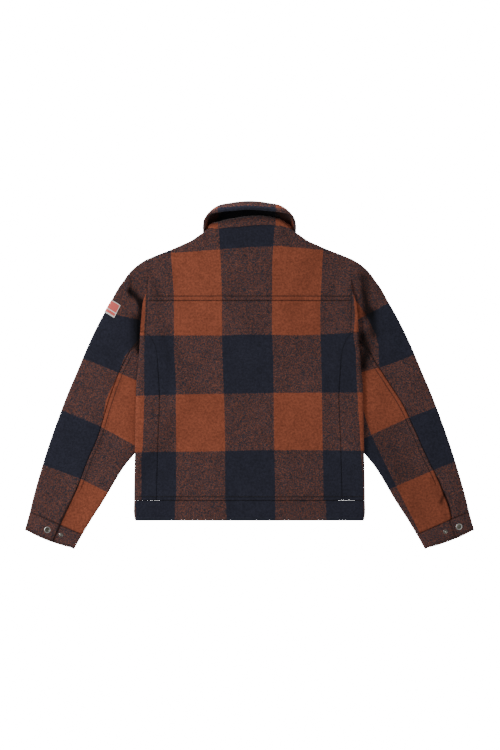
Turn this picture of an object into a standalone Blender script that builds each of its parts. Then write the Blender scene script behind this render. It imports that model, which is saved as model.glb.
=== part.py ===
"""Checked wool jacket laid flat, back up, in metres with +Z up."""

import math

import bpy
import numpy as np

# Named sizes, in millimetres
MM_PER_POINT = 2.2
MIDDLE_POINT = 249.5
BASE_POINT = 522.0
WALL = 3.6
SEAM_GAP = 0.3
LAYER_GAP = 1.2
FOLD_REACH = 8.0
FOLD_SWELL = 2.0
SWELL_REACH = 14.0
SLEEVE_STACK = 2 * WALL + LAYER_GAP
TUCK_LIFT = SLEEVE_STACK + 1.1
LAP_LIFT = 4.8
LEAF_WALL = 5.4
LEAF_LIFT = 6.4
STAND_WALL = 3.8
CLOSING_HALF = 18.0
SNAP_LIFT = 1.9
CAP_RADIUS = 7.2
CAP_HEIGHT = 2.2
STUD_RADIUS = 4.6
STUD_HEIGHT = 1.8
FRONT_CAP_HEIGHT = 1.6
PATCH_WALL = 0.8
PATCH_GAP = 0.3
NECK_HALF = 41.4
NECK_DROP = 36.0
CORNER_DOWN = 332.0
CORNER_OUT = 105.7
CORNER_SLOPE = 0.45
YOKE_SEAM = 300.6
HEM_SEAM = 500.3
HEM_END = 520.5
OPEN_SLIT = 1.3
SHARP_DEGREES = 40

# Outline tables in picture points: down the picture, then out from the middle
BODY_SIDE = (
    (256, 101.9), (270, 101.9), (285, 101.95), (291, 102.7), (296, 104.5), (302, 106.5),
    (310, 107.5), (319, 108.2), (328, 108.9), (334, 109.3), (345, 109.8), (354, 110.4),
    (365, 111.0), (380, 112.8), (393, 113.3), (415, 113.8), (452, 114.5), (482, 115.3),
    (500, 115.5), (516, 115.3), (519, 114.7), (521, 113.6),
)
BACK_SEAM = (
    (334, 101.0), (340, 96.6), (346, 94.0), (352, 92.5), (369, 91.0), (388, 89.9),
    (395, 89.4), (410, 89.8), (441, 91.2), (495, 92.7), (501, 92.9),
)
TUCK_EDGE = (
    (300, 160), (316, 135), (322, 122), (327, 110), (331, 102.8), (345, 101.2), (353, 98.4),
    (361, 95.2), (368, 90.6), (375, 86.2), (384, 81.4), (392, 80.2), (400, 81.5), (408, 85.2),
    (420, 92.3), (428, 97.3), (440, 105.8), (452, 113.3), (462, 121.0), (470, 130), (540, 200),
)
# Out from the middle, then down the picture
SHOULDER = (
    (38, 229.6), (41.5, 230.6), (47.5, 233.4), (52, 236.4), (56.5, 239.6), (67.5, 244.8),
    (79.5, 250.0), (92.5, 255.0), (103.5, 259.8), (110, 263),
)
# Signed across from the middle, then down the picture
NECK_SEAM = (
    (-41.4, 230.4), (-30.5, 229.0), (-12.5, 227.6), (0, 226.4), (10.5, 225.6), (25.5, 225.9),
    (33.5, 226.9), (41.4, 230.4),
)
# Left sleeve sections: outer across, outer down, inner across, inner down, back seam share,
# front seam share, swell at the inner fold
SLEEVE = (
    (147.45, 259.0, 146.5, 331.0, 0.92, 0.90, 0.0),
    (123.6, 281.0, 148.3, 345.0, 0.81, 0.86, 0.0),
    (110.0, 303.0, 154.0, 361.0, 0.66, 0.83, 0.0),
    (98.4, 324.0, 163.0, 375.0, 0.50, 0.80, 0.0),
    (87.7, 346.5, 169.0, 392.0, 0.425, 0.80, 0.0),
    (77.2, 371.5, 164.0, 408.0, 0.42, 0.80, 0.0),
    (67.6, 394.0, 152.0, 428.0, 0.456, 0.80, 0.0),
    (56.6, 423.0, 136.0, 451.8, 0.515, 0.80, 0.15),
    (47.6, 449.0, 122.0, 469.8, 0.54, 0.80, 0.8),
    (39.0, 477.0, 104.5, 499.2, 0.575, 0.80, 1.0),
    (33.0, 498.5, 91.8, 519.0, 0.577, 0.80, 0.8),
    (29.9, 511.6, 82.4, 534.6, 0.577, 0.80, 0.3),
    (24.9, 529.8, 74.3, 548.9, 0.577, 0.80, 0.0),
)
# How far the shoulder point and a cuff's end bow out between their sections, in millimetres
SHOULDER_BOW = 4.8
BOW_SKEW = 0.85
BOW_WAY = (-0.677, 0.735)
CUFF_BOW = 4.4
# The right sleeve's back seam share at the same sections
RIGHT_BACK = (0.92, 0.81, 0.66, 0.50, 0.415, 0.364, 0.334, 0.334, 0.337, 0.307, 0.308, 0.318, 0.33)
CUFF_AT = 11
CUFF_END = 12
# Shares across a cuff, from the outer fold: its under end, then its upper end over it
CUFF_UNDER = {
    -1: (0.34, 0.44, 0.54, 0.6, 0.67, 0.74, 0.82),
    1: (0.215, 0.29, 0.36, 0.41, 0.48, 0.56, 0.66, 0.76),
}
CUFF_OVER = {
    -1: (0.1, 0.14, 0.18, 0.22, 0.26, 0.30, 0.38, 0.47, 0.565),
    1: (0.07, 0.09, 0.11, 0.13, 0.155, 0.187, 0.25, 0.31, 0.37),
}
CUFF_LIFTED = 5
CUFF_SUNK = 3
CUFF_SINK = 0.25
SINK_REACH = 0.15
CUFF_RISE = WALL + 0.45
FOLD_SHARE = 0.04
# Collar leaf, half of it: across, down, height for each point from the stand to the free edge
LEAF = (
    (
        (0, 216.4, 4.4), (0, 212.0, 4.6), (0, 207.3, 12.6), (0, 204.1, 29),
        (0, 203.0, 42), (0, 205.4, 50), (0, 210.6, 51),
    ),
    (
        (13, 217.4, 4.4), (14, 213.4, 4.6), (15.5, 208.8, 12.6), (16.5, 205.6, 28),
        (16.9, 204.5, 41), (16.3, 206.8, 49), (15.2, 211.6, 50),
    ),
    (
        (25, 219.8, 4.4), (27, 216.0, 4.6), (29.6, 211.8, 12.6), (31.3, 208.8, 26),
        (31.9, 207.9, 38), (31.2, 209.6, 45), (29.7, 213.0, 47),
    ),
    (
        (33.6, 222.4, 4.8), (36.0, 219.4, 4.8), (38.3, 217.0, 11), (39.4, 214.9, 21),
        (39.9, 213.9, 31), (39.7, 214.2, 38), (39.2, 215.0, 42),
    ),
    (
        (37.4, 223.6, 6.2), (39.8, 222.0, 5.0), (42.4, 221.4, 8), (43.6, 221.1, 14),
        (44.2, 220.8, 21), (44.4, 220.6, 27), (44.4, 220.5, 32),
    ),
    (
        (38.4, 225.4, 6.0), (40.4, 224.6, 4.0), (42.6, 224.8, 4.4), (44.3, 225.4, 7.4),
        (45.1, 225.9, 12), (45.4, 226.1, 16.5), (45.5, 226.2, 21),
    ),
    (
        (37.8, 227.4, 4.6), (39.4, 227.2, 3.4), (41.2, 227.5, 3.1), (42.9, 228.0, 3.6),
        (44.4, 228.6, 5.0), (45.5, 229.0, 7.0), (46.2, 229.2, 9.6),
    ),
    (
        (35.8, 229.2, 2.8), (37.6, 229.8, 2.8), (39.4, 230.4, 2.8), (41.2, 231.0, 2.8),
        (43.0, 231.6, 2.8), (44.8, 232.2, 2.8), (46.6, 232.8, 2.8),
    ),
    (
        (33.4, 233.4, 2.8), (35.8, 235.4, 2.8), (38.2, 237.4, 2.8), (40.6, 239.4, 2.8),
        (43.0, 241.4, 2.8), (45.4, 243.2, 2.8), (47.6, 245.0, 2.8),
    ),
    (
        (26.4, 243.6, 2.8), (28.9, 247.4, 2.8), (31.4, 251.2, 2.8), (33.9, 254.9, 2.8),
        (36.4, 258.6, 2.8), (39.0, 262.3, 2.8), (41.6, 266.0, 2.8),
    ),
    (
        (14.5, 253.2, 2.8), (17.3, 258.0, 2.8), (20.1, 262.8, 2.8), (22.9, 267.5, 2.8),
        (25.7, 272.1, 2.8), (28.5, 276.8, 2.8), (31.2, 281.4, 2.8),
    ),
    (
        (1.6, 257.0, 2.8), (4.5, 262.4, 2.8), (7.4, 267.8, 2.8), (10.2, 273.2, 2.8),
        (13.1, 278.6, 2.8), (16.0, 284.0, 2.8), (18.8, 289.4, 2.8),
    ),
)
# Collar stand, half of it: across, down, height. The back rows give how far up from the neck seam
STAND_BACK = (
    ((0, 0.35, 26.6), (0, 4.2, 28.2), (0, 7.6, 25), (0, 8.9, 16.5), (0, 9.4, 7.9)),
    ((13, 0.35, 26.2), (13.1, 4.0, 27.6), (13.2, 7.2, 24.4), (13.2, 8.5, 16.4), (13.2, 9.0, 7.9)),
    ((25, 0.35, 24.6), (25.2, 3.1, 25.8), (25.3, 5.8, 22.8), (25.3, 7.0, 16), (25.2, 7.6, 8.1)),
    ((33.6, 0.35, 22.2), (33.8, 2.1, 23), (33.9, 4.0, 20.6), (33.8, 5.2, 15), (33.6, 5.8, 8.6)),
)
STAND = (
    ((38.4, 228.4, 19.6), (38.4, 227.2, 19.4), (38.2, 226.0, 17.6), (37.9, 225.0, 15.0), (37.6, 224.4, 12.2)),
    ((40.4, 228.6, 15.2), (40.4, 227.6, 15.0), (40.2, 226.7, 14.2), (39.9, 226.0, 12.8), (39.6, 225.5, 11.2)),
    ((40.4, 230.0, 10.6), (40.2, 229.2, 10.6), (40.0, 228.4, 10.4), (39.7, 227.7, 10.2), (39.4, 227.1, 9.8)),
    ((39.2, 234.2, 8.4), (38.9, 233.0, 8.4), (38.5, 231.8, 8.4), (38.1, 230.6, 8.4), (37.6, 229.4, 8.6)),
    ((35.2, 242.4, 8.3), (34.9, 240.0, 8.3), (34.6, 237.6, 8.3), (34.3, 235.2, 8.3), (34.0, 232.8, 8.3)),
    ((27.2, 252.8, 8.3), (27.1, 250.3, 8.3), (27.0, 247.8, 8.3), (26.8, 245.3, 8.3), (26.6, 242.9, 8.3)),
    ((14.9, 262.2, 8.3), (14.8, 259.8, 8.3), (14.7, 257.4, 8.3), (14.6, 254.9, 8.3), (14.6, 252.5, 8.3)),
    ((1.6, 266.0, 8.3), (1.6, 263.6, 8.3), (1.6, 261.2, 8.3), (1.6, 258.6, 8.3), (1.6, 256.1, 8.3)),
)
FRONT_CAPS_DOWN = (326, 363, 400, 437, 474, 510)
CUFF_CAP = {-1: (47.7, 529.5), 1: (458.7, 526.4)}
CUFF_STUD = {-1: (61.0, 534.8), 1: (445.2, 531.5)}
PATCH_FROM = 1.86
PATCH_TO = 2.44
PATCH_DEEP = 17.0

COLOURS = {
    "wool_rust": (0.22, 0.075, 0.03),
    "wool_navy": (0.018, 0.024, 0.042),
    "wool_blend": (0.10, 0.045, 0.03),
    "snap_metal": (0.55, 0.54, 0.52),
    "patch_cloth": (0.75, 0.10, 0.07),
}
ROUGH = {"wool_rust": 0.95, "wool_navy": 0.95, "wool_blend": 0.95, "snap_metal": 0.3, "patch_cloth": 0.7}


def curve(rows, at, column=1):
    """Smooth curve through a table's rows, read at the values of its first column."""
    xs = np.array([r[0] for r in rows], float)
    ys = np.array([r[column] for r in rows], float)
    slope = np.gradient(ys, xs)
    at = np.clip(np.asarray(at, float), xs[0], xs[-1])
    k = np.clip(np.searchsorted(xs, at, side="right") - 1, 0, len(xs) - 2)
    span = xs[k + 1] - xs[k]
    s = (at - xs[k]) / span
    a = (1 + 2 * s) * (1 - s) ** 2
    b = s * (1 - s) ** 2
    c = s * s * (3 - 2 * s)
    d = s * s * (s - 1)
    return a * ys[k] + b * span * slope[k] + c * ys[k + 1] + d * span * slope[k + 1]


def front_seam(down):
    """The hidden seam between a side panel and a front, out from the middle."""
    share = np.clip((down - 333.0) / 168.0, 0, 1)
    return 89.0 + 13.7 * (1 - share) ** 2


def straight(rows, at, column=1):
    """Straight lines through a table's rows."""
    return np.interp(at, [r[0] for r in rows], [r[column] for r in rows])


def ease(s):
    s = np.clip(s, 0.0, 1.0)
    return s * s * (3 - 2 * s)


def swell(distance):
    """A fold's soft swelling beside its edge, 0 at the edge and 1 at its highest."""
    q = np.maximum(distance, 0.0) / SWELL_REACH
    return q * np.exp(1 - q)


def top_edge(across):
    """The body's upper outline, in picture points down, at a signed place across."""
    out = np.abs(across)
    neck = curve(NECK_SEAM, across)
    shoulder = curve(SHOULDER, out)
    return np.where(out < NECK_HALF, neck, shoulder)


def front_top(across):
    out = np.abs(across)
    dip = np.clip(1 - (out / NECK_HALF) ** 2, 0, 1) ** 0.8
    return np.where(out < NECK_HALF, 230.6 + NECK_DROP * dip, curve(SHOULDER, out))


def folded(across):
    """1 along the shoulders, 0 along the neck."""
    return ease((np.abs(across) - 40.5) / 6.0)


def tuck(across, down, reach=14.0):
    """How far the body is raised by the sleeve that is tucked under it, from 0 to 1."""
    edge = straight(TUCK_EDGE, down) - 4.5
    return ease((np.abs(across) - (edge - reach)) / reach)


def collar_under(across, down, edge=1.5, reach=0.34):
    """How far the fronts are raised by the collar leaf folded under them."""
    far = np.sqrt((across / 47.0) ** 2 + (np.maximum(down - 231.0, 0) / 62.0) ** 2)
    return ease((edge - far) / reach)


def shoulder_gap(across, down):
    """Distance in from the shoulder line or the neck, in millimetres."""
    return np.maximum(down - top_edge(across), 0) * MM_PER_POINT


def side_gap(across, down):
    return np.maximum(curve(BODY_SIDE, down) - np.abs(across), 0) * MM_PER_POINT


def underside(across, down):
    """Height of the face that lies on the table, without the closing."""
    return TUCK_LIFT * tuck(across, down) + LEAF_LIFT * collar_under(across, down)


def lap(across, down):
    """The back's edge rises over the sleeve below the shoulder."""
    along = ease((down - 277.0) / 11.0)
    reach = ease((np.abs(across) - 84.0) / 15.0)
    return along * reach


def back_top(across, down):
    """Height of the back's outer face."""
    x = np.abs(across) * MM_PER_POINT
    low = TUCK_LIFT * tuck(across, down + 3.0 * (1 - ease((down - 360) / 20)), 30.0)
    low = np.maximum(low, LAP_LIFT * lap(across, down) * (1 - ease((down - 340) / 30)))
    low = low + LEAF_LIFT * collar_under(across, down, 1.75, 0.6)
    middle = (WALL + 2.8) * (1 - ease((x - 60.0) / 120.0))
    sides = swell(side_gap(across, down)) * ease((down - 336) / 12)
    swollen = FOLD_SWELL * (swell(shoulder_gap(across, down)) * folded(across) + sides)
    neck = 3.4 * (1 - ease((down - 236) / 50)) * (1 - ease((np.abs(across) - 28) / 18))
    return low + 2 * WALL + LAYER_GAP + middle + swollen + neck


def front_low(across, down, right):
    """Height of a front's outer face, which looks down."""
    x = across * MM_PER_POINT
    low = underside(across, down)
    snaps = SNAP_LIFT * (1 - ease((np.abs(x) - 12.0) / 24.0))
    over = (WALL + 0.5) * (1 - ease((x - 25.0) / 34.0)) if right else 0.0
    return low + snaps + over


def place(across, down, height):
    """Picture points and millimetres to an array of places in millimetres."""
    x = across * MM_PER_POINT
    y = (BASE_POINT - down) * MM_PER_POINT
    return np.stack(np.broadcast_arrays(x, y, height), axis=-1).astype(float)


def spread(count, ends=0.0):
    """Even steps from 0 to 1, closer at both ends as ends grows."""
    s = np.linspace(0, 1, count)
    return (1 - ends) * s + ends * (0.5 - 0.5 * np.cos(math.pi * s))


def fold_angles(count):
    return np.radians(np.linspace(90, 0, count + 1))


def patch(left, right, low, high, us, vs):
    """Places in a patch between two side curves and two end curves, in picture points."""
    u, v = np.meshgrid(us, vs, indexing="ij")
    down = low(np.zeros_like(u)) * (1 - v) + high(np.zeros_like(u)) * v
    for _ in range(40):
        across = left(down) * (1 - u) + right(down) * u
        down = 0.5 * down + 0.5 * (low(across) * (1 - v) + high(across) * v)
    return left(down) * (1 - u) + right(down) * u, down


def flat_piece(left, right, low, high, us, vs, outer, inner, edge, fold_rows):
    """A piece whose upper end folds over at the shoulder line.
    outer and inner give heights, edge gives the fold's middle height."""
    reach = FOLD_REACH / MM_PER_POINT
    across, down = patch(left, right, low, lambda a: high(a) + reach, us, vs)
    outs = [place(across, down, outer(across, down))]
    ins = [place(across, down, inner(across, down))]
    a, d = across[:, -1:], down[:, -1:]
    w = folded(a)
    top_out, top_in, mid = outer(a, d), inner(a, d), edge(a, d)
    wall = WALL / MM_PER_POINT
    for angle in fold_angles(fold_rows)[1:]:
        rise = 1 - math.cos(angle)
        step = high(a) + reach * rise
        inside = high(a) + wall * w + (reach - wall * w) * rise
        flat = outer(a, step), inner(a, step)
        z_out = w * (mid + (top_out - mid) * math.sin(angle)) + (1 - w) * flat[0]
        z_in = w * (mid + (top_in - mid) * math.sin(angle)) + (1 - w) * flat[1]
        outs.append(place(a, step, z_out))
        ins.append(place(a, inside, z_in))
    return np.concatenate(outs, axis=1), np.concatenate(ins, axis=1)


def side_fold(edge, inward, top, low, wall, steps, rows):
    """Round a side fold, from the top layer to the bottom layer. All in millimetres."""
    outs, ins = [], []
    mid, half = (top + low) / 2, (top - low) / 2
    for angle in np.radians(np.linspace(90, -90, steps + 1)):
        near = FOLD_REACH * (1 - math.cos(angle))
        inner_near = wall + (FOLD_REACH - wall) * (1 - math.cos(angle))
        outs.append(np.stack([edge + inward * near, rows, mid + half * math.sin(angle)], axis=-1))
        z = mid + (half - wall) * math.sin(angle)
        ins.append(np.stack([edge + inward * inner_near, rows, z], axis=-1))
    return outs, ins


def wrap_rows(side, downs, back_at, front_at, back_steps, front_steps, fold_steps, right):
    """Sections of the body that run from the back, round the side fold, to the front.
    downs is (rows, columns) of places down; side is -1 for left and 1 for right."""
    outs, ins = [], []
    reach = FOLD_REACH / MM_PER_POINT
    down0 = downs(None)
    edge = curve(BODY_SIDE, down0)
    for s in np.linspace(0, 1, back_steps + 1)[:-1]:
        out = back_at(down0) * (1 - s) + (edge - reach) * s
        down = downs(out)
        out = back_at(down) * (1 - s) + (curve(BODY_SIDE, down) - reach) * s
        z = back_top(side * out, down)
        outs.append(place(side * out, down, z))
        ins.append(place(side * out, down, z - WALL))
    down = downs(edge)
    edge = curve(BODY_SIDE, down)
    inner = edge - reach
    top = back_top(side * inner, down)
    low = front_low(side * inner, down, right)
    x = side * edge * MM_PER_POINT
    y = (BASE_POINT - down) * MM_PER_POINT
    o, i = side_fold(x, -side, top, low, WALL, fold_steps, y)
    outs += o
    ins += i
    for s in np.linspace(0, 1, front_steps + 1)[1:]:
        out = (edge - reach) * (1 - s) + front_at(down0) * s
        down = downs(out)
        out = (curve(BODY_SIDE, down) - reach) * (1 - s) + front_at(down) * s
        z = front_low(side * out, down, right)
        outs.append(place(side * out, down, z))
        ins.append(place(side * out, down, z + WALL))
    return np.stack(outs), np.stack(ins)


def shell(outer, inner):
    """Vertices and faces of a closed wall between two grids of the same shape."""
    n, m = outer.shape[:2]
    points = np.concatenate([outer.reshape(-1, 3), inner.reshape(-1, 3)])
    top = np.arange(n * m).reshape(n, m)
    low = top + n * m
    faces = []
    for grid, flip in ((top, False), (low, True)):
        a, b, c, d = grid[:-1, :-1], grid[1:, :-1], grid[1:, 1:], grid[:-1, 1:]
        for corners in ((a, b, c), (a, c, d)):
            face = np.stack(corners, axis=-1).reshape(-1, 3)
            faces.append(face[:, ::-1] if flip else face)
    rims = (
        (top[0], low[0]), (low[-1], top[-1]), (low[:, 0], top[:, 0]), (top[:, -1], low[:, -1]),
    )
    for line_a, line_b in rims:
        faces.append(np.stack([line_a[:-1], line_a[1:], line_b[1:]], axis=-1))
        faces.append(np.stack([line_a[:-1], line_b[1:], line_b[:-1]], axis=-1))
    return points, np.concatenate(faces)


# Columns across the shoulders, in picture points out from the middle
COLUMNS = np.array([0, 7, 14, 21, 28, 34, 38.5, 41.6, 44.5, 48, 54, 61, 69, 77, 85, 93.5, 101.8])
FRONT_DOWNS = np.array([
    500.3, 478, 458, 440, 422, 404, 388, 373, 359, 347, 338, 333.4, 328, 319, 300, 280, 263.5,
])
SIDE_DOWNS = np.array([
    332.0, 335.5, 339, 343, 347, 353, 361, 375, 392, 408, 422, 434, 444, 454, 464, 480, 500.3,
])

PIECES = []


def keep(name, material, points, faces):
    PIECES.append((name, material, np.asarray(points, float), np.asarray(faces)))


def keep_shell(name, material, outer, inner):
    points, faces = shell(outer, inner)
    keep(name, material, points, faces)


def turned(centre, normal, profile, sides=12):
    """A lathed solid round a normal: profile gives radius and height rows from rim to rim."""
    n = np.array(normal, float)
    n /= np.linalg.norm(n)
    a = np.cross(n, (0.0, 1.0, 0.0))
    a /= np.linalg.norm(a)
    b = np.cross(n, a)
    angles = np.linspace(0, 2 * math.pi, sides, endpoint=False)
    rings = [
        centre + r * (np.cos(angles)[:, None] * a + np.sin(angles)[:, None] * b) + h * n
        for r, h in profile
    ]
    points = np.concatenate(rings + [[centre + profile[0][1] * n], [centre + profile[-1][1] * n]])
    faces = []
    count = len(profile)
    for k in range(count - 1):
        for s in range(sides):
            t = (s + 1) % sides
            faces.append((k * sides + s, k * sides + t, (k + 1) * sides + t, (k + 1) * sides + s))
    low, high = count * sides, count * sides + 1
    for s in range(sides):
        t = (s + 1) % sides
        faces.append((low, t, s, s))
        faces.append((high, (count - 1) * sides + s, (count - 1) * sides + t, (count - 1) * sides + t))
    return points, faces


def build_back():
    gap = SEAM_GAP / 2 / MM_PER_POINT

    def left(down):
        return -curve(BODY_SIDE, down) + gap

    def right(down):
        return curve(BODY_SIDE, down) - gap

    def inner(a, d):
        return back_top(a, d) - WALL

    def edge(a, d):
        return (back_top(a, d) + front_low(a, d, False)) / 2 + SEAM_GAP / 2

    us = (np.concatenate([-COLUMNS[:0:-1], COLUMNS]) / COLUMNS[-1] + 1) / 2
    outer_grid, inner_grid = flat_piece(
        left, right, lambda a: YOKE_SEAM - gap + 0 * a, lambda a: top_edge(a) + gap, us,
        spread(6), back_top, inner, edge, 4,
    )
    keep_shell("back_yoke", "wool_rust", outer_grid, inner_grid)

    def panel_side(down):
        corner = np.interp(down, (331.6, 331.9, 333.95), (109.2, CORNER_OUT, 101.0))
        seam = curve(BACK_SEAM, np.maximum(down, 334.0))
        side = np.where(down < 333.95, corner, seam)
        side = np.where(down < 331.6, np.minimum(curve(BODY_SIDE, down), 109.2), side)
        return side - 0.25 * np.exp(-(((down - 333.6) / 1.5) ** 2))

    downs = np.array((
        500.3, 482, 462, 444, 426, 408, 392, 376, 363, 355,
        349, 345, 341, 337.5, 334.1, 331.9, 331.6, 324, 312, 300.6,
    ))
    vs = (HEM_SEAM - downs) / (HEM_SEAM - YOKE_SEAM)
    across, down = patch(
        lambda d: -panel_side(d) + gap, lambda d: panel_side(d) - gap,
        lambda a: HEM_SEAM - gap + 0 * a, lambda a: YOKE_SEAM + gap + 0 * a, spread(17, 0.3), vs,
    )
    z = back_top(across, down)
    keep_shell("back_panel", "wool_navy", place(across, down, z), place(across, down, z - WALL))


def build_sides():
    gap = SEAM_GAP / 2 / MM_PER_POINT
    rows = (SIDE_DOWNS - SIDE_DOWNS[0]) / (SIDE_DOWNS[-1] - SIDE_DOWNS[0])

    for side, name in ((-1, "left"), (1, "right")):

        def downs(out):
            inward = 0 if out is None else np.maximum(CORNER_OUT - out, 0)
            top = CORNER_DOWN + gap + inward * CORNER_SLOPE
            top = np.minimum(top, 334.1 + gap)
            return top + (HEM_SEAM - gap - top) * rows

        outer, inner = wrap_rows(
            side, downs,
            lambda d: curve(BACK_SEAM, np.maximum(d, 334.0)) + gap,
            lambda d: front_seam(d) + gap,
            4, 4, 6, side > 0,
        )
        keep_shell("side_panel_" + name, "wool_blend", outer, inner)


def build_fronts():
    gap = SEAM_GAP / 2 / MM_PER_POINT
    closing = CLOSING_HALF / MM_PER_POINT

    def side_line(down):
        hole = 101.9 + np.clip((down - 259) / 74, 0, 1) * 1.0
        return np.where(down < 333.4, np.minimum(hole, 102.7), front_seam(down))

    for side, name in ((-1, "left"), (1, "right")):

        def outer_side(down):
            return side * (side_line(down) - gap)

        def inner_side(down):
            return -side * closing + 0 * down

        def outer(a, d, right=side > 0):
            return front_low(a, d, right)

        def inner(a, d, right=side > 0):
            return front_low(a, d, right) + WALL

        def edge(a, d):
            return (back_top(a, d) + front_low(a, d, False)) / 2 - SEAM_GAP / 2

        us = np.append((COLUMNS[-1] - COLUMNS[::-1]) / (COLUMNS[-1] + closing), 1.0)
        vs = (FRONT_DOWNS[0] - FRONT_DOWNS) / (FRONT_DOWNS[0] - FRONT_DOWNS[-1])
        outer_grid, inner_grid = flat_piece(
            outer_side, inner_side, lambda a: HEM_SEAM - gap + 0 * a, lambda a: front_top(a) + gap,
            us, vs, outer, inner, edge, 4,
        )
        keep_shell("front_" + name, "wool_navy", outer_grid, inner_grid)


def build_hem():
    gap = SEAM_GAP / 2 / MM_PER_POINT
    rows = HEM_SEAM + gap + (HEM_END - HEM_SEAM - gap) * np.array([0, 0.55, 1.0])
    closing = CLOSING_HALF / MM_PER_POINT
    reach = FOLD_REACH / MM_PER_POINT
    edge = curve(BODY_SIDE, rows)
    outs, ins = [], []

    def add(across, top, wall):
        outs.append(place(across, rows, top))
        ins.append(place(across, rows, top + wall))

    for out in (closing, 0, -8, -16, -27, -42, -58, -75, -90, -103):
        across = out + 0 * rows
        add(across, front_low(across, rows, False), WALL)
    for side in (-1, 1):
        low_side = side > 0
        inner = side * (edge - reach)
        top = back_top(inner, rows)
        low = front_low(inner, rows, low_side)
        y = (BASE_POINT - rows) * MM_PER_POINT
        o, i = side_fold(side * edge * MM_PER_POINT, -side, top, low, WALL, 8, y)
        if side < 0:
            outs.extend(o[::-1])
            ins.extend(i[::-1])
            for s in spread(21)[1:-1]:
                across = -(edge - reach) * (1 - s) + (edge - reach) * s
                z = back_top(across, rows)
                outs.append(place(across, rows, z))
                ins.append(place(across, rows, z - WALL))
        else:
            outs.extend(o)
            ins.extend(i)
    for out in (103, 90, 75, 58, 42, 27, 20, 14, 8, 0, -closing):
        across = out + 0 * rows
        add(across, front_low(across, rows, True), WALL)
    keep_shell("hem_band", "wool_navy", np.stack(outs), np.stack(ins))


def sleeve_section(at, side=-1):
    """Outer and inner fold places in millimetres, seam shares and inner swell at a station."""
    rows = [(k,) + row for k, row in enumerate(SLEEVE)]
    if side > 0:
        rows = [row[:5] + (share,) + row[6:] for row, share in zip(rows, RIGHT_BACK)]
    v = [curve(rows, at, c) for c in range(1, 8)]
    outer = np.stack([(v[0] - MIDDLE_POINT) * MM_PER_POINT, (BASE_POINT - v[1]) * MM_PER_POINT], axis=-1)
    inner = np.stack([(v[2] - MIDDLE_POINT) * MM_PER_POINT, (BASE_POINT - v[3]) * MM_PER_POINT], axis=-1)
    bow = SHOULDER_BOW * np.sin(math.pi * np.clip(at, 0.0, 1.0) ** BOW_SKEW)
    outer = outer + bow[..., None] * np.array(BOW_WAY)
    return outer, inner, v[4], v[5], v[6]


def bowed(pair, stations, share):
    """A cuff's places moved down the sleeve, most at its end and midway between its folds."""
    near, far = sleeve_section(np.array(CUFF_AT)), sleeve_section(np.array(CUFF_END))
    way = far[0] + far[1] - near[0] - near[1]
    way /= np.linalg.norm(way)
    reach = CUFF_BOW * 4 * share * (1 - share) * (stations - CUFF_AT) / (CUFF_END - CUFF_AT)
    moved = []
    for places in pair:
        places = places.copy()
        places[..., :2] += reach[..., None] * way
        moved.append(places)
    return moved


def sleeve_height(near_outer, near_inner, inner_swell, plain=False):
    """Height of a sleeve's upper face at distances from its two folds."""
    if plain:
        return SLEEVE_STACK + 0 * near_outer
    return SLEEVE_STACK + FOLD_SWELL * (swell(near_outer) + inner_swell * swell(near_inner))


def fold_frame(at):
    """Section ends, the places one fold's reach inside them, and the ways in from the folds."""
    outer, inner, _, _, inner_swell = sleeve_section(at)
    step = 1e-3
    ahead, behind = sleeve_section(at + step), sleeve_section(at - step)
    span = inner - outer
    width = np.linalg.norm(span, axis=-1)
    unit = span / width[..., None]
    turn = ease(np.asarray(at) / 1.2)[..., None]
    ways = []
    for end, sign in ((0, 1.0), (1, -1.0)):
        path = ahead[end] - behind[end]
        square = np.stack([-path[..., 1], path[..., 0]], axis=-1) * sign
        square /= np.linalg.norm(square, axis=-1)[..., None]
        way = unit * sign * (1 - turn) + square * turn
        ways.append(way / np.linalg.norm(way, axis=-1)[..., None])
    return outer, inner, ways[0], ways[1], width, inner_swell


def sleeve_place(at, layer, near, from_outer, angle=None, offset=0.0, plain=False, raised=0.0, wall=WALL):
    """A place on a sleeve's wall. layer is 1 above and -1 below; near is the distance in
    millimetres from the fold that from_outer picks; angle rounds that fold instead."""
    outer, inner, way_out, way_in, width, inner_swell = fold_frame(at)
    reach = FOLD_REACH
    start, end = outer + way_out * reach, inner + way_in * reach

    def height(distance):
        a = distance if from_outer else width - distance
        b = width - distance if from_outer else distance
        return sleeve_height(a, b, inner_swell, plain)

    if angle is None:
        top = height(near)
        z_out = top + offset + raised if layer > 0 else -offset + 0 * top
        z_in = top - wall + raised if layer > 0 else wall + 0 * top
        share = ((near - reach) / (width - 2 * reach))[..., None]
        share = share if from_outer else 1 - share
        flat_out = flat_in = start + (end - start) * share
    else:
        top = height(0 * width + reach)
        mid = half = top / 2
        d_out = reach - (reach + offset) * math.cos(angle)
        d_in = wall + (reach - wall) * (1 - math.cos(angle))
        z_out = mid + (half + offset) * math.sin(angle)
        z_in = mid + (half - wall) * math.sin(angle)
        base, way = (outer, way_out) if from_outer else (inner, way_in)
        flat_out = base + way * d_out
        flat_in = base + way * d_in
    return (
        np.concatenate([flat_out, np.asarray(z_out + 0 * width)[..., None]], axis=-1),
        np.concatenate([flat_in, np.asarray(z_in + 0 * width)[..., None]], axis=-1),
    )


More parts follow.
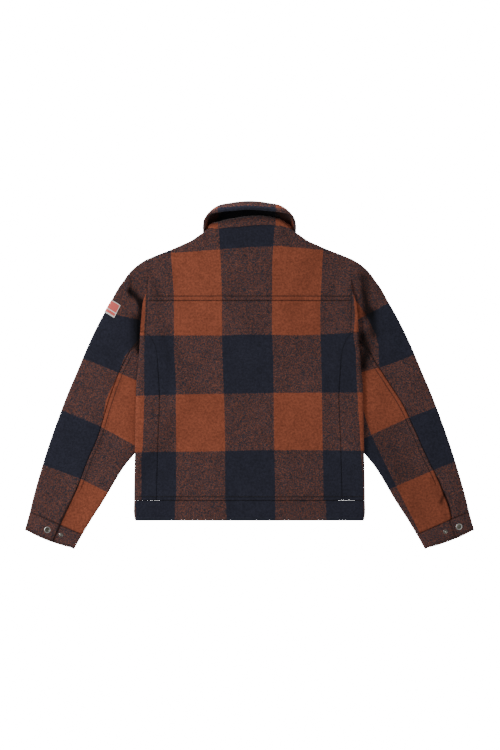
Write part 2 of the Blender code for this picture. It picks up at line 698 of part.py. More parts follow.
def sleeve_piece(from_outer, stations, top_steps, low_steps, fold_steps, side):
    """Upper or under sleeve: from the back seam round one fold to the front seam."""
    outer, inner, back, front, _ = sleeve_section(stations, side)
    width = np.linalg.norm(inner - outer, axis=-1)
    opened = OPEN_SLIT * MM_PER_POINT if side > 0 else 0.0
    slit = opened * np.exp(-(((stations - 9.9) / 0.55) ** 2))
    gap = SEAM_GAP / 2
    if from_outer:
        top_end, low_end = back * width - gap - slit, front * width - gap
    else:
        top_end, low_end = (1 - back) * width - gap, (1 - front) * width - gap
    outs, ins = [], []

    def add(pair):
        outs.append(pair[0])
        ins.append(pair[1])

    for s in np.linspace(0, 1, top_steps + 1)[:-1]:
        near = top_end * (1 - s) + FOLD_REACH * s
        add(sleeve_place(stations, 1, near, from_outer))
    for angle in np.radians(np.linspace(90, -90, fold_steps + 1)):
        add(sleeve_place(stations, 0, None, from_outer, angle=angle))
    for s in np.linspace(0, 1, low_steps + 1)[1:]:
        near = FOLD_REACH * (1 - s) + low_end * s
        add(sleeve_place(stations, -1, near, from_outer))
    return np.stack(outs), np.stack(ins)


def cuff_piece(side):
    """A ring with its upper end lapped over its under end at the slit."""
    stations = np.linspace(CUFF_AT + 0.02, CUFF_END, 3)
    outer, inner, _, _, _ = sleeve_section(stations)
    width = np.linalg.norm(inner - outer, axis=-1)
    under, over = CUFF_UNDER[side], CUFF_OVER[side]
    outs, ins = [], []

    def add(pair, share):
        pair = bowed(pair, stations, share)
        outs.append(pair[0])
        ins.append(pair[1])

    for share in under:
        lower = -CUFF_SINK * (1 - ease((share - under[CUFF_SUNK]) / SINK_REACH))
        add(sleeve_place(stations, 1, (1 - share) * width, False, plain=True, raised=lower), share)
    for angle in np.radians(np.linspace(90, -90, 9)):
        add(sleeve_place(stations, 0, None, False, angle=angle, plain=True), FOLD_SHARE)
    for share in np.linspace(0.9, 0.1, 9):
        add(sleeve_place(stations, -1, share * width, True, plain=True), share)
    for angle in np.radians(np.linspace(-90, 90, 9)):
        add(sleeve_place(stations, 0, None, True, angle=angle, plain=True), FOLD_SHARE)
    for share in over:
        lift = CUFF_RISE * ease((share - over[0]) / (over[CUFF_LIFTED] - over[0]))
        add(sleeve_place(stations, 1, share * width, True, plain=True, raised=lift), share)
    return np.stack(outs), np.stack(ins)


def patch_piece():
    """The small sewn patch round the outer fold of the left upper sleeve."""
    along = np.linspace(PATCH_FROM, PATCH_TO, 4)
    step = 1e-3
    tangent = (sleeve_section(along + step)[0] - sleeve_section(along - step)[0]) / (2 * step)
    speed = np.linalg.norm(tangent, axis=-1)
    outer, inner, way_out, way_in, _, _ = fold_frame(along)
    unit = inner + way_in * FOLD_REACH - outer - way_out * FOLD_REACH
    unit /= np.linalg.norm(unit, axis=-1)[..., None]
    lean = (unit * tangent / speed[..., None]).sum(axis=-1)
    outs, ins = [], []

    def add(layer, near, angle, plan):
        at = along - lean * np.maximum(plan - FOLD_REACH, 0) / speed
        high = sleeve_place(at, layer, near, True, angle=angle, offset=PATCH_WALL + PATCH_GAP)[0]
        low = sleeve_place(at, layer, near, True, angle=angle, offset=PATCH_GAP)[0]
        outs.append(high)
        ins.append(low)

    for near in np.linspace(FOLD_REACH + PATCH_DEEP, FOLD_REACH, 6)[:-1]:
        add(1, near + 0 * along, None, near)
    for angle in np.radians(np.linspace(90, -50, 8)):
        add(0, None, angle, FOLD_REACH * (1 - math.cos(angle)))
    return np.stack(outs), np.stack(ins)


def mirrored(grid):
    flipped = grid.copy()
    flipped[..., 0] *= -1
    return flipped


def build_sleeves():
    last = CUFF_AT - 0.006
    armhole = np.arange(0.5, 3.6, 0.5)
    below = (4.2, 5, 5.7, 6.4, 7.1, 7.8, 8.5, 9.1, 9.6, 10.2, last)
    stations = np.concatenate([[0.012], armhole, below])
    for side, name in ((-1, "left"), (1, "right")):
        turn = mirrored if side > 0 else lambda g: g
        for from_outer, piece, top_steps, low_steps in (
            (True, "sleeve_upper_", 5, 5),
            (False, "sleeve_under_", 4, 2),
        ):
            outer, inner = sleeve_piece(from_outer, stations, top_steps, low_steps, 6, side)
            keep_shell(piece + name, "wool_blend", turn(outer), turn(inner))
        outer, inner = cuff_piece(side)
        keep_shell("cuff_" + name, "wool_blend", turn(outer), turn(inner))
        for piece, spot, radius, tall, lift in (
            ("cuff_cap_", CUFF_CAP[side], CAP_RADIUS, CAP_HEIGHT, CUFF_RISE),
            ("cuff_stud_", CUFF_STUD[side], STUD_RADIUS, STUD_HEIGHT, 0.0),
        ):
            x = (spot[0] - MIDDLE_POINT) * MM_PER_POINT
            y = (BASE_POINT - spot[1]) * MM_PER_POINT
            base = np.array((x, y, SLEEVE_STACK + lift + 0.04))
            profile = (
                (radius * 0.9, 0), (radius, 0.45), (radius, tall * 0.5),
                (radius * 0.9, tall * 0.82), (radius * 0.55, tall),
            )
            if piece == "cuff_stud_":
                profile = (
                    (radius, 0), (radius, 0.6), (radius * 0.55, 0.8),
                    (radius * 0.5, tall * 0.9), (radius * 0.4, tall),
                )
            points, faces = turned(base, (0, 0, 1), profile)
            keep(piece + name, "snap_metal", points, faces)
    outer, inner = patch_piece()
    keep_shell("sleeve_patch", "patch_cloth", outer, inner)


def build_front_caps():
    for number, down in enumerate(FRONT_CAPS_DOWN, 1):
        y = (BASE_POINT - down) * MM_PER_POINT
        base = np.array((0.0, y, front_low(np.array(0.0), np.array(float(down)), False) - 0.2))
        tall = FRONT_CAP_HEIGHT
        profile = (
            (CAP_RADIUS, 0), (CAP_RADIUS, tall * 0.5),
            (CAP_RADIUS * 0.9, tall * 0.85), (CAP_RADIUS * 0.6, tall),
        )
        points, faces = turned(base, (0, 0, -1), profile)
        keep("front_cap_" + str(number), "snap_metal", points, faces)


def spline_row(points, counts):
    """A smooth line through points; counts gives the steps between each two."""
    p = np.asarray(points, float)
    steps = np.concatenate([[0], np.cumsum(np.linalg.norm(np.diff(p, axis=0), axis=1))])
    if isinstance(counts, int):
        counts = [counts] * (len(p) - 1)
    marks = np.concatenate([[0]] + [k + np.arange(1, n + 1) / n for k, n in enumerate(counts)])
    at = np.interp(marks, np.arange(len(p)), steps)
    return np.stack([curve(list(zip(steps, p[:, c])), at, 1) for c in range(3)], axis=-1)


def collar_halves(name):
    """A collar piece's stations from the left front end round the back to the right one."""
    if name == "collar_leaf":
        return [[(-a, d, z) for a, d, z in row] for row in LEAF[::-1]] + [list(row) for row in LEAF[1:]]
    whole = []
    for side in (-1, 1):
        back = []
        for row in STAND_BACK:
            seam = float(curve(NECK_SEAM, side * row[0][0]))
            back.append([(side * a, seam - up, z) for a, up, z in row])
        rest = [[(side * a, d, z) for a, d, z in row] for row in STAND]
        half = back + rest
        whole = half[::-1] if side < 0 else whole + half[1:]
    return whole


def collar_grid(name, each_along, each_across):
    """A collar piece as one grid of middle places in millimetres."""
    lines = []
    for station in collar_halves(name):
        p = np.array(station, float)
        p = np.stack([p[:, 0] * MM_PER_POINT, (BASE_POINT - p[:, 1]) * MM_PER_POINT, p[:, 2]], axis=-1)
        lines.append(spline_row(p, each_across))
    grid = np.stack(lines)
    grid = np.stack([spline_row(grid[:, k], each_along) for k in range(grid.shape[1])], axis=1)
    grid[..., 2] = np.maximum(grid[..., 2], LEAF_WALL / 2 + 0.1)
    return grid


def thicken(grid, wall):
    """Outer and inner faces beside a grid of middle places."""
    along = np.gradient(grid, axis=0)
    across = np.gradient(grid, axis=1)
    normal = np.cross(along, across)
    normal /= np.linalg.norm(normal, axis=-1)[..., None]
    return grid + normal * wall / 2, grid - normal * wall / 2


def build_collar():
    for name, wall, across in (
        ("collar_leaf", LEAF_WALL, [1, 2, 1, 1, 2, 1]),
        ("collar_stand", STAND_WALL, 1),
    ):
        outer, inner = thicken(collar_grid(name, 2, across), wall)
        keep_shell(name, "wool_blend", outer, inner)


def volume(points, faces):
    total = 0.0
    for face in faces:
        a = points[face[0]]
        for k in range(1, len(face) - 1):
            total += np.dot(a, np.cross(points[face[k]], points[face[k + 1]]))
    return total / 6


def clean_faces(faces):
    kept = []
    for face in faces:
        short = []
        for index in face:
            if not short or index != short[-1]:
                short.append(int(index))
        if short[0] == short[-1]:
            short = short[:-1]
        kept.append(short)
    return kept


def main():
    for item in list(bpy.data.objects):
        bpy.data.objects.remove(item, do_unlink=True)
    build_back()
    build_sides()
    build_fronts()
    build_hem()
    build_sleeves()
    build_front_caps()
    build_collar()
    low = np.min([p.min(axis=0) for _, _, p, _ in PIECES], axis=0)
    high = np.max([p.max(axis=0) for _, _, p, _ in PIECES], axis=0)
    origin = np.array(((low[0] + high[0]) / 2, (low[1] + high[1]) / 2, low[2]))
    shades = {}
    for name, colour in COLOURS.items():
        material = bpy.data.materials.new(name)
        material.use_nodes = True
        shader = material.node_tree.nodes["Principled BSDF"]
        shader.inputs["Base Color"].default_value = (*colour, 1.0)
        shader.inputs["Roughness"].default_value = ROUGH[name]
        shader.inputs["Metallic"].default_value = 1.0 if name == "snap_metal" else 0.0
        material.diffuse_color = (*colour, 1.0)
        shades[name] = material
    for name, shade, points, faces in PIECES:
        faces = clean_faces(faces)
        if volume(points, faces) < 0:
            faces = [face[::-1] for face in faces]
        mesh = bpy.data.meshes.new(name)
        mesh.from_pydata(((points - origin) / 1000.0).tolist(), [], faces)
        material = shades[shade].copy()
        material.name = "mat_" + name
        mesh.materials.append(material)
        mesh.validate()
        mesh.shade_smooth()
        mesh.set_sharp_from_angle(angle=math.radians(SHARP_DEGREES))
        item = bpy.data.objects.new(name, mesh)
        bpy.context.scene.collection.objects.link(item)
    print("origin in millimetres", origin.round(3).tolist(), "size", (high - low).round(2).tolist())


main()
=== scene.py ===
"""Checked wool jacket laid flat, back up: cloth, stitching, snaps, light and camera."""

import math

import bpy
import numpy as np
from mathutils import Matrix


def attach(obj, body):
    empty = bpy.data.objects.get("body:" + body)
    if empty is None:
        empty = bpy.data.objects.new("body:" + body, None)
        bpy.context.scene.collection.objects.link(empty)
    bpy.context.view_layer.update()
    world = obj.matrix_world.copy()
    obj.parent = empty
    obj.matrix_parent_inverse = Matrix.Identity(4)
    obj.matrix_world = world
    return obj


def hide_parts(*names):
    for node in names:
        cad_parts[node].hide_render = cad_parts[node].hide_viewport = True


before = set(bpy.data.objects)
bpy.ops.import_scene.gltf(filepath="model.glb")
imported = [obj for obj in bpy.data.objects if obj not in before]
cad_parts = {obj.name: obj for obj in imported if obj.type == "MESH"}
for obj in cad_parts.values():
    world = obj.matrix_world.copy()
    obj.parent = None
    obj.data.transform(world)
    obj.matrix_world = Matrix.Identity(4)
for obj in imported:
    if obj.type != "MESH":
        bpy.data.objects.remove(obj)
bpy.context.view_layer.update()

# Sizes in millimetres, places in picture points
MM_PER_POINT = 2.2
MIDDLE_POINT = 249.5
BASE_POINT = 522.0
WALL = 3.6
SEAM_GAP = 0.3
LAYER_GAP = 1.2
FOLD_REACH = 8.0
FOLD_SWELL = 2.0
SWELL_REACH = 14.0
SLEEVE_STACK = 2 * WALL + LAYER_GAP
TUCK_LIFT = SLEEVE_STACK + 1.1
LAP_LIFT = 4.8
LEAF_WALL = 5.4
LEAF_LIFT = 6.4
STAND_WALL = 3.8
CLOSING_HALF = 18.0
SNAP_LIFT = 1.9
PATCH_WALL = 0.8
PATCH_GAP = 0.3
NECK_HALF = 41.4
NECK_DROP = 36.0
CORNER_DOWN = 332.0
CORNER_OUT = 105.7
CORNER_SLOPE = 0.45
YOKE_SEAM = 300.6
HEM_SEAM = 500.3
HEM_END = 520.5
OPEN_SLIT = 1.3
SHARP_DEGREES = 40

# Outline tables in picture points: down the picture, then out from the middle
BODY_SIDE = (
    (256, 101.9), (270, 101.9), (285, 101.95), (291, 102.7), (296, 104.5), (302, 106.5),
    (310, 107.5), (319, 108.2), (328, 108.9), (334, 109.3), (345, 109.8), (354, 110.4),
    (365, 111.0), (380, 112.8), (393, 113.3), (415, 113.8), (452, 114.5), (482, 115.3),
    (500, 115.5), (516, 115.3), (519, 114.7), (521, 113.6),
)

BACK_SEAM = (
    (334, 101.0), (340, 96.6), (346, 94.0), (352, 92.5), (369, 91.0), (388, 89.9),
    (395, 89.4), (410, 89.8), (441, 91.2), (495, 92.7), (501, 92.9),
)

TUCK_EDGE = (
    (300, 160), (316, 135), (322, 122), (327, 110), (331, 102.8), (345, 101.2), (353, 98.4),
    (361, 95.2), (368, 90.6), (375, 86.2), (384, 81.4), (392, 80.2), (400, 81.5), (408, 85.2),
    (420, 92.3), (428, 97.3), (440, 105.8), (452, 113.3), (462, 121.0), (470, 130), (540, 200),
)

# Out from the middle, then down the picture
SHOULDER = (
    (38, 229.6), (41.5, 230.6), (47.5, 233.4), (52, 236.4), (56.5, 239.6), (67.5, 244.8),
    (79.5, 250.0), (92.5, 255.0), (103.5, 259.8), (110, 263),
)

# Signed across from the middle, then down the picture
NECK_SEAM = (
    (-41.4, 230.4), (-30.5, 229.0), (-12.5, 227.6), (0, 226.4), (10.5, 225.6), (25.5, 225.9),
    (33.5, 226.9), (41.4, 230.4),
)

# Left sleeve sections: outer across, outer down, inner across, inner down, back seam share,
# front seam share, swell at the inner fold
SLEEVE = (
    (148.5, 258.6, 148.2, 331.0, 0.92, 0.90, 0.0),
    (123.6, 281.0, 148.3, 345.0, 0.81, 0.86, 0.0),
    (110.0, 303.0, 154.0, 361.0, 0.66, 0.83, 0.0),
    (98.4, 324.0, 163.0, 375.0, 0.50, 0.80, 0.0),
    (87.7, 346.5, 169.0, 392.0, 0.425, 0.80, 0.0),
    (77.2, 371.5, 164.0, 408.0, 0.42, 0.80, 0.0),
    (67.6, 394.0, 152.0, 428.0, 0.456, 0.80, 0.0),
    (56.6, 423.0, 136.0, 451.8, 0.515, 0.80, 0.15),
    (47.6, 449.0, 122.0, 469.8, 0.54, 0.80, 0.8),
    (39.0, 477.0, 104.5, 499.2, 0.575, 0.80, 1.0),
    (33.0, 498.5, 91.8, 519.0, 0.577, 0.80, 0.8),
    (29.9, 511.6, 82.4, 534.6, 0.577, 0.80, 0.3),
    (24.9, 529.8, 74.3, 548.9, 0.577, 0.80, 0.0),
)

# How far the shoulder point and a cuff's end bow out between their sections, in millimetres
SHOULDER_BOW = 4.8
BOW_SKEW = 0.85
BOW_WAY = (-0.677, 0.735)
CUFF_BOW = 4.4

# The right sleeve's back seam share at the same sections
RIGHT_BACK = (0.92, 0.81, 0.66, 0.50, 0.415, 0.364, 0.334, 0.334, 0.337, 0.307, 0.308, 0.318, 0.33)
CUFF_AT = 11
CUFF_END = 12
CUFF_TALL = 37.0

# Shares across a cuff, from the outer fold, by side
CUFF_UNDER_FROM = {-1: 0.34, 1: 0.215}
CUFF_UNDER_FLAT = {-1: 0.6, 1: 0.41}
CUFF_OVER_FROM = {-1: 0.1, 1: 0.07}
CUFF_OVER_FLAT = {-1: 0.29, 1: 0.187}
CUFF_OVER_END = {-1: 0.565, 1: 0.37}
CUFF_SINK = 0.25
SINK_REACH = 0.15
CUFF_RISE = WALL + 0.45
FOLD_SHARE = 0.04

# Collar leaf, half of it: across, down, height for each point from the stand to the free edge
LEAF = (
    (
        (0, 219.4, 3.4), (0, 212.0, 4.6), (0, 207.3, 12.6), (0, 204.1, 29),
        (0, 203.0, 42), (0, 205.4, 50), (0, 210.6, 51),
    ),
    (
        (12.6, 220.2, 3.4), (14, 213.4, 4.6), (15.5, 208.8, 12.6), (16.5, 205.6, 28),
        (16.9, 204.5, 41), (16.3, 206.8, 49), (15.2, 211.6, 50),
    ),
    (
        (24.2, 222.4, 3.4), (27, 216.0, 4.6), (29.6, 211.8, 12.6), (31.3, 208.8, 26),
        (31.9, 207.9, 38), (31.2, 209.6, 45), (29.7, 213.0, 47),
    ),
    (
        (33.6, 222.4, 4.8), (36.0, 219.4, 4.8), (38.3, 217.0, 11), (39.4, 214.9, 21),
        (39.9, 213.9, 31), (39.7, 214.2, 38), (39.2, 215.0, 42),
    ),
    (
        (37.4, 223.6, 6.2), (39.8, 222.0, 5.0), (42.4, 221.4, 8), (43.6, 221.1, 14),
        (44.2, 220.8, 21), (44.4, 220.6, 27), (44.4, 220.5, 32),
    ),
    (
        (38.4, 225.4, 6.0), (40.4, 224.6, 4.0), (42.6, 224.8, 4.4), (44.3, 225.4, 7.4),
        (45.1, 225.9, 12), (45.4, 226.1, 16.5), (45.5, 226.2, 21),
    ),
    (
        (37.8, 227.4, 4.6), (39.4, 227.2, 3.4), (41.2, 227.5, 3.1), (42.9, 228.0, 3.6),
        (44.4, 228.6, 5.0), (45.5, 229.0, 7.0), (46.2, 229.2, 9.6),
    ),
    (
        (35.8, 229.2, 2.8), (37.6, 229.8, 2.8), (39.4, 230.4, 2.8), (41.2, 231.0, 2.8),
        (43.0, 231.6, 2.8), (44.8, 232.2, 2.8), (46.6, 232.8, 2.8),
    ),
    (
        (33.4, 233.4, 2.8), (35.8, 235.4, 2.8), (38.2, 237.4, 2.8), (40.6, 239.4, 2.8),
        (43.0, 241.4, 2.8), (45.4, 243.2, 2.8), (47.6, 245.0, 2.8),
    ),
    (
        (26.4, 243.6, 2.8), (28.9, 247.4, 2.8), (31.4, 251.2, 2.8), (33.9, 254.9, 2.8),
        (36.4, 258.6, 2.8), (39.0, 262.3, 2.8), (41.6, 266.0, 2.8),
    ),
    (
        (14.5, 253.2, 2.8), (17.3, 258.0, 2.8), (20.1, 262.8, 2.8), (22.9, 267.5, 2.8),
        (25.7, 272.1, 2.8), (28.5, 276.8, 2.8), (31.2, 281.4, 2.8),
    ),
    (
        (1.6, 257.0, 2.8), (4.5, 262.4, 2.8), (7.4, 267.8, 2.8), (10.2, 273.2, 2.8),
        (13.1, 278.6, 2.8), (16.0, 284.0, 2.8), (18.8, 289.4, 2.8),
    ),
)

# Collar stand, half of it: across, down, height. The back rows give how far up from the neck seam
STAND_BACK = (
    ((0, 0.35, 26.6), (0, 4.2, 28.2), (0, 7.6, 25), (0, 8.9, 16.5), (0, 9.4, 7.9)),
    ((13, 0.35, 26.2), (13.1, 4.0, 27.6), (13.2, 7.2, 24.4), (13.2, 8.5, 16.4), (13.2, 9.0, 7.9)),
    ((25, 0.35, 24.6), (25.2, 3.1, 25.8), (25.3, 5.8, 22.8), (25.3, 7.0, 16), (25.2, 7.6, 8.1)),
    ((33.6, 0.35, 22.2), (33.8, 2.1, 23), (33.9, 4.0, 20.6), (33.8, 5.2, 15), (33.6, 5.8, 8.6)),
)

STAND = (
    ((38.4, 228.4, 19.6), (38.4, 227.2, 19.4), (38.2, 226.0, 17.6), (37.9, 225.0, 15.0), (37.6, 224.4, 12.2)),
    ((40.4, 228.6, 15.2), (40.4, 227.6, 15.0), (40.2, 226.7, 14.2), (39.9, 226.0, 12.8), (39.6, 225.5, 11.2)),
    ((40.4, 230.0, 10.6), (40.2, 229.2, 10.6), (40.0, 228.4, 10.4), (39.7, 227.7, 10.2), (39.4, 227.1, 9.8)),
    ((39.2, 234.2, 8.4), (38.9, 233.0, 8.4), (38.5, 231.8, 8.4), (38.1, 230.6, 8.4), (37.6, 229.4, 8.6)),
    ((35.2, 242.4, 8.3), (34.9, 240.0, 8.3), (34.6, 237.6, 8.3), (34.3, 235.2, 8.3), (34.0, 232.8, 8.3)),
    ((27.2, 252.8, 8.3), (27.1, 250.3, 8.3), (27.0, 247.8, 8.3), (26.8, 245.3, 8.3), (26.6, 242.9, 8.3)),
    ((14.9, 262.2, 8.3), (14.8, 259.8, 8.3), (14.7, 257.4, 8.3), (14.6, 254.9, 8.3), (14.6, 252.5, 8.3)),
    ((1.6, 266.0, 8.3), (1.6, 263.6, 8.3), (1.6, 261.2, 8.3), (1.6, 258.6, 8.3), (1.6, 256.1, 8.3)),
)

FRONT_CAPS_DOWN = (326, 363, 400, 437, 474, 510)
CUFF_CAP = {-1: (47.7, 529.5), 1: (458.7, 526.4)}
CUFF_STUD = {-1: (61.0, 534.8), 1: (445.2, 531.5)}
PATCH_FROM = 1.86
PATCH_TO = 2.44
PATCH_DEEP = 17.0
ORIGIN = np.array((0.0, 323.43, 0.0))
METRE = 1000.0

# Cloth grid steps, in millimetres
STEP = 2.6
YOKE_STITCH = 9.6
HEM_STITCH = 8.2
SLEEVE_STITCH = 8.6
EDGE_STITCH = 4.2
STITCH_LONG = 3.3
STITCH_PITCH = 4.0
STITCH_RADIUS = 0.42

# The check's boundaries on the body, in picture points: rows of (down, across) and (across, down)
BODY_COLUMNS = (
    ((230, 96.0), (520, 96.0)),
    (
        (230, 146.0), (285, 146.4), (291, 147.0), (296, 146.0), (304, 145.7), (314, 145.4), (332, 144.2),
        (339, 145.1), (350, 144.5), (400, 144.6), (440, 143.5), (462, 141.6), (520, 141.5),
    ),
    ((230, 168.5), (262, 171.5), (295, 173.8), (350, 174.0), (385, 176.0), (520, 176.2)),
    ((230, 219.0), (262, 220.8), (300, 222.1), (350, 222.3), (400, 224.2), (440, 225.2), (520, 225.2)),
    ((230, 274.2), (262, 272.2), (330, 272.0), (360, 273.2), (440, 274.0), (480, 275.0), (520, 275.2)),
    ((230, 325.0), (262, 322.4), (310, 320.0), (360, 321.2), (430, 322.4), (480, 323.3), (520, 323.5)),
    (
        (230, 353.0), (285, 353.0), (291, 353.1), (301, 353.7), (310.6, 354.7), (323, 354.3), (335, 353.1),
        (352, 355.6), (375, 356.0), (393, 357.0), (450, 360.5), (482, 363.0), (520, 363.5),
    ),
    ((230, 404.0), (520, 410.0)),
)

HEM_COLUMNS = (
    ((500, 80.0), (520, 80.0)),
    ((500, 136.0), (520, 136.0)),
    ((500, 175.0), (520, 174.8)),
    ((500, 226.0), (520, 226.6)),
    ((500, 275.0), (520, 275.4)),
    ((500, 326.0), (520, 326.3)),
    ((500, 363.5), (520, 363.5)),
    ((500, 420.0), (520, 420.0)),
)

BODY_ROWS = (
    ((140, 216.0), (360, 216.0)),
    ((150, 258.0), (165, 253.2), (185, 252.0), (222, 249.5), (250, 247.0), (280, 246.0),
     (300, 248.0), (330, 250.6), (345, 256.0)),
    ((150, 335.6), (222, 335.6), (250, 334.6), (300, 335.5), (330, 334.2), (345, 333.2)),
    ((150, 395.4), (185, 394.2), (250, 393.4), (300, 392.6), (345, 392.5)),
    ((150, 452.0), (205, 451.4), (250, 450.1), (300, 450.0), (345, 450.4)),
    ((150, 508.0), (345, 508.0)),
)

# Soft creases: line in picture points, half width in points, height in millimetres
BODY_CREASES = (
    (((150, 262), (158, 284), (163, 299)), 5.0, -1.5),
    (((345, 262), (339, 283), (333, 300)), 5.0, -1.3),
    (((176, 240), (196, 262), (222, 276)), 8.0, 1.2),
    (((318, 240), (300, 258), (284, 272)), 7.0, 1.0),
    (((204, 312), (214, 346), (212, 384)), 9.0, -1.2),
    (((292, 318), (284, 352), (288, 396)), 10.0, -1.2),
    (((246, 322), (252, 362), (247, 412), (250, 452)), 9.0, 1.4),
    (((166, 336), (172, 366), (169, 402)), 4.0, -1.4),
    (((333, 338), (328, 368), (331, 404)), 4.0, -1.4),
    (((182, 430), (206, 446), (236, 452)), 8.0, 1.2),
    (((318, 424), (294, 442), (268, 450)), 8.0, 1.0),
    (((160, 478), (186, 484), (216, 482)), 5.0, -1.0),
    (((340, 476), (312, 484), (280, 481)), 5.0, -1.0),
    (((141, 345), (146, 372), (144, 398)), 3.5, -1.2),
    (((357, 347), (353, 374), (355, 400)), 3.5, -1.2),
)

SLEEVE_CREASES = {
    -1: (
        (((129.5, 292), (134.6, 294.6), (141.6, 301.5)), 2.0, -4.0),
        (((130.6, 277), (131.0, 292)), 3.2, -1.5),
        (((126.4, 280), (127.2, 296)), 2.6, 2.6),
        (((141.8, 301), (141.4, 320), (140.6, 350)), 2.4, -4.0),
        (((137.0, 318), (136.0, 334), (134.0, 348)), 5.0, -1.4),
        (((112, 318), (121, 330), (132, 342)), 6.0, -1.3),
        (((128, 344), (124, 352), (119, 358)), 4.0, -1.6),
        (((92, 352), (106, 366), (116, 384)), 8.0, 1.3),
        (((76, 392), (92, 398), (104, 408)), 7.0, -1.3),
        (((118, 384), (128, 408), (124, 432)), 8.0, 1.3),
        (((66, 424), (80, 438), (90, 456)), 8.0, 1.2),
        (((104, 446), (110, 462), (104, 482)), 6.0, -1.2),
        (((48, 470), (62, 476), (74, 486)), 5.0, -1.1),
        (((40, 494), (48, 500), (56, 508)), 4.0, 1.2),
        (((86, 494), (84, 506), (74, 520)), 5.0, -1.2),
    ),
    1: (
        (((364.0, 274), (365.5, 290), (366.5, 314)), 3.0, -4.2),
        (((374.5, 277), (374.5, 292), (374.0, 308)), 3.0, 2.8),
        (((362.5, 333), (366.2, 342), (370.6, 350)), 3.0, -4.0),
        (((360.2, 318), (360.4, 336)), 2.4, -2.0),
        (((381, 300), (378, 316), (372, 330)), 5.0, -1.4),
        (((396, 336), (388, 352), (376, 362)), 7.0, 1.4),
        (((412, 372), (400, 384), (392, 400)), 7.0, -1.3),
        (((372, 384), (376, 408), (388, 430)), 8.0, 1.3),
        (((430, 420), (418, 436), (412, 452)), 8.0, 1.2),
        (((396, 446), (398, 464), (406, 482)), 6.0, -1.3),
        (((452, 468), (440, 480), (432, 486)), 5.0, -1.2),
        (((462.4, 497), (461.0, 505), (461.3, 513)), 2.2, -1.8),
        (((457, 494), (454, 504), (455, 513)), 3.0, 1.1),
        (((416, 494), (420, 508), (430, 522)), 5.0, -1.1),
    ),
}

# The armholes' topstitching on the back, in picture points
ARMHOLE_LINES = {
    -1: ((147.5, 288), (147.3, 300), (147.0, 313.8), (146.0, 326.5), (144.8, 340.6)),
    1: ((351.4, 288), (351.4, 301), (351.4, 311), (351.0, 322), (350.7, 334)),
}

ARMHOLE_GROOVES = tuple((line, 0.5, -0.9) for line in ARMHOLE_LINES.values())

# Painted shade in seams, stitches and deep folds, and a painted shadow on the body's right edge: picture
# points, half width, share
BODY_PAINTED_SHADE = (
    (((149.2, YOKE_SEAM), (350.0, YOKE_SEAM)), 0.55, 0.5),
    (((149.2, 296.2), (350.0, 296.2)), 0.6, 0.5),
    (((134.0, HEM_SEAM), (365.0, HEM_SEAM)), 0.55, 0.5),
    (((134.0, 496.6), (365.0, 496.6)), 0.6, 0.5),
    (((359.0, 319.0), (358.6, 330.0), (359.4, 346.0)), 2.0, 0.6),
    (ARMHOLE_LINES[-1], 0.5, 0.4),
    (ARMHOLE_LINES[1], 0.5, 0.4),
) + tuple(
    (tuple((MIDDLE_POINT + side * out, down) for down, out in BACK_SEAM), 0.5, 0.4) for side in (-1, 1)
)

# Painted shade in the sleeves' deep folds and at the opening's flap edge, painted shadows beside the flap and
# on the right under sleeve, and painted highlights on ridges where the share is below 0
SLEEVE_PAINTED_SHADE = {
    -1: (
        (((129.5, 291.5), (135.0, 295.5), (142.5, 303.0)), 3.6, 0.80),
        (((127.0, 283.0), (134.0, 290.0)), 6.5, 0.28),
        (((141.0, 303.0), (142.0, 320.0), (140.6, 352.0)), 3.0, 0.8),
        (((136.5, 320.0), (137.0, 346.0)), 6.0, 0.70),
        (((126.6, 280), (127.2, 296)), 2.0, -0.15),
        (((79.0, 483.0), (73.4, 495.0), (67.6, 507.0), (60.0, 521.6)), 0.9, 0.5),
        (((81.5, 484.0), (76.0, 496.0), (70.0, 508.0), (63.0, 521.6)), 3.0, 0.2),
    ),
    1: (
        (((365.0, 278.0), (367.5, 312.0)), 5.5, 0.62),
        (((363.0, 290.0), (368.0, 310.0)), 2.6, 0.25),
        (((371.0, 313.0), (374.0, 334.0)), 5.0, 0.70),
        (((362.5, 336.0), (366.5, 348.0), (364.0, 366.0)), 5.5, 0.88),
        (((360.0, 310.0), (364.5, 318.0)), 3.5, 0.22),
        (((374.6, 278), (374.6, 306)), 2.2, -0.15),
        (
            (
                (436.0, 476.3), (439.4, 481.5), (441.7, 488.9), (444.6, 495.8), (447.5, 502.1),
                (449.8, 509.0), (450.4, 518.2),
            ), 1.0, 0.55,
        ),
        (((432.5, 478.0), (440.0, 497.0), (446.0, 518.0)), 4.0, 0.2),
        (((444.0, 494.0), (440.5, 502.0)), 1.8, 0.5),
        (((384.0, 430.0), (404.0, 480.0), (430.0, 530.0)), 16.0, 0.16),
    ),
}

# Slow waves of lying cloth: length and slant in points, height in millimetres, start
WAVES = ((61.0, 0.9, 0.55, 0.4), (43.0, 2.3, 0.42, 1.9), (29.0, 0.2, 0.28, 3.1), (19.0, 1.6, 0.16, 5.2))
PUCKERS = ((17.0, 0.42, 0.0), (9.7, 0.33, 1.3), (6.1, 0.25, 2.9))

# How far a sleeve's two sewn ends dip under their neighbours, in millimetres
TUCKED = 1.6

# A trough never comes lower than this, to stay above the sleeve's lower layer
LOWEST_TOP = 4.7

# How many sides a thread has
THREAD_SIDES = 6
# Share along a thread, share of its radius, rise in radii
THREAD_RINGS = (
    (-0.5, 0.25, -0.55), (-0.38, 0.85, -0.05), (0.0, 1.0, 0.25), (0.38, 0.85, -0.05), (0.5, 0.25, -0.55),
)
# Half the width of a bar of thread, in millimetres
TACK_HALF = 1.15

# Rows beside a sewn edge, in millimetres from it
SEWN = (0, 0.35, 0.8, 1.4, 2.1, 3.0, 4.0, 5.2)
YOKE_LOW = SEWN + (6.6, 7.8, 8.6, 9.1, YOKE_STITCH, 10.1, 10.6, 11.4, 12.6, 14.2)
PANEL_LOW = SEWN + (6.2, 7.2, 7.7, HEM_STITCH, 8.7, 9.3, 10.2, 11.6, 13.4)
ARMHOLE = (0, 0.5, 1.1) + tuple(0.8 * k for k in range(2, 21))

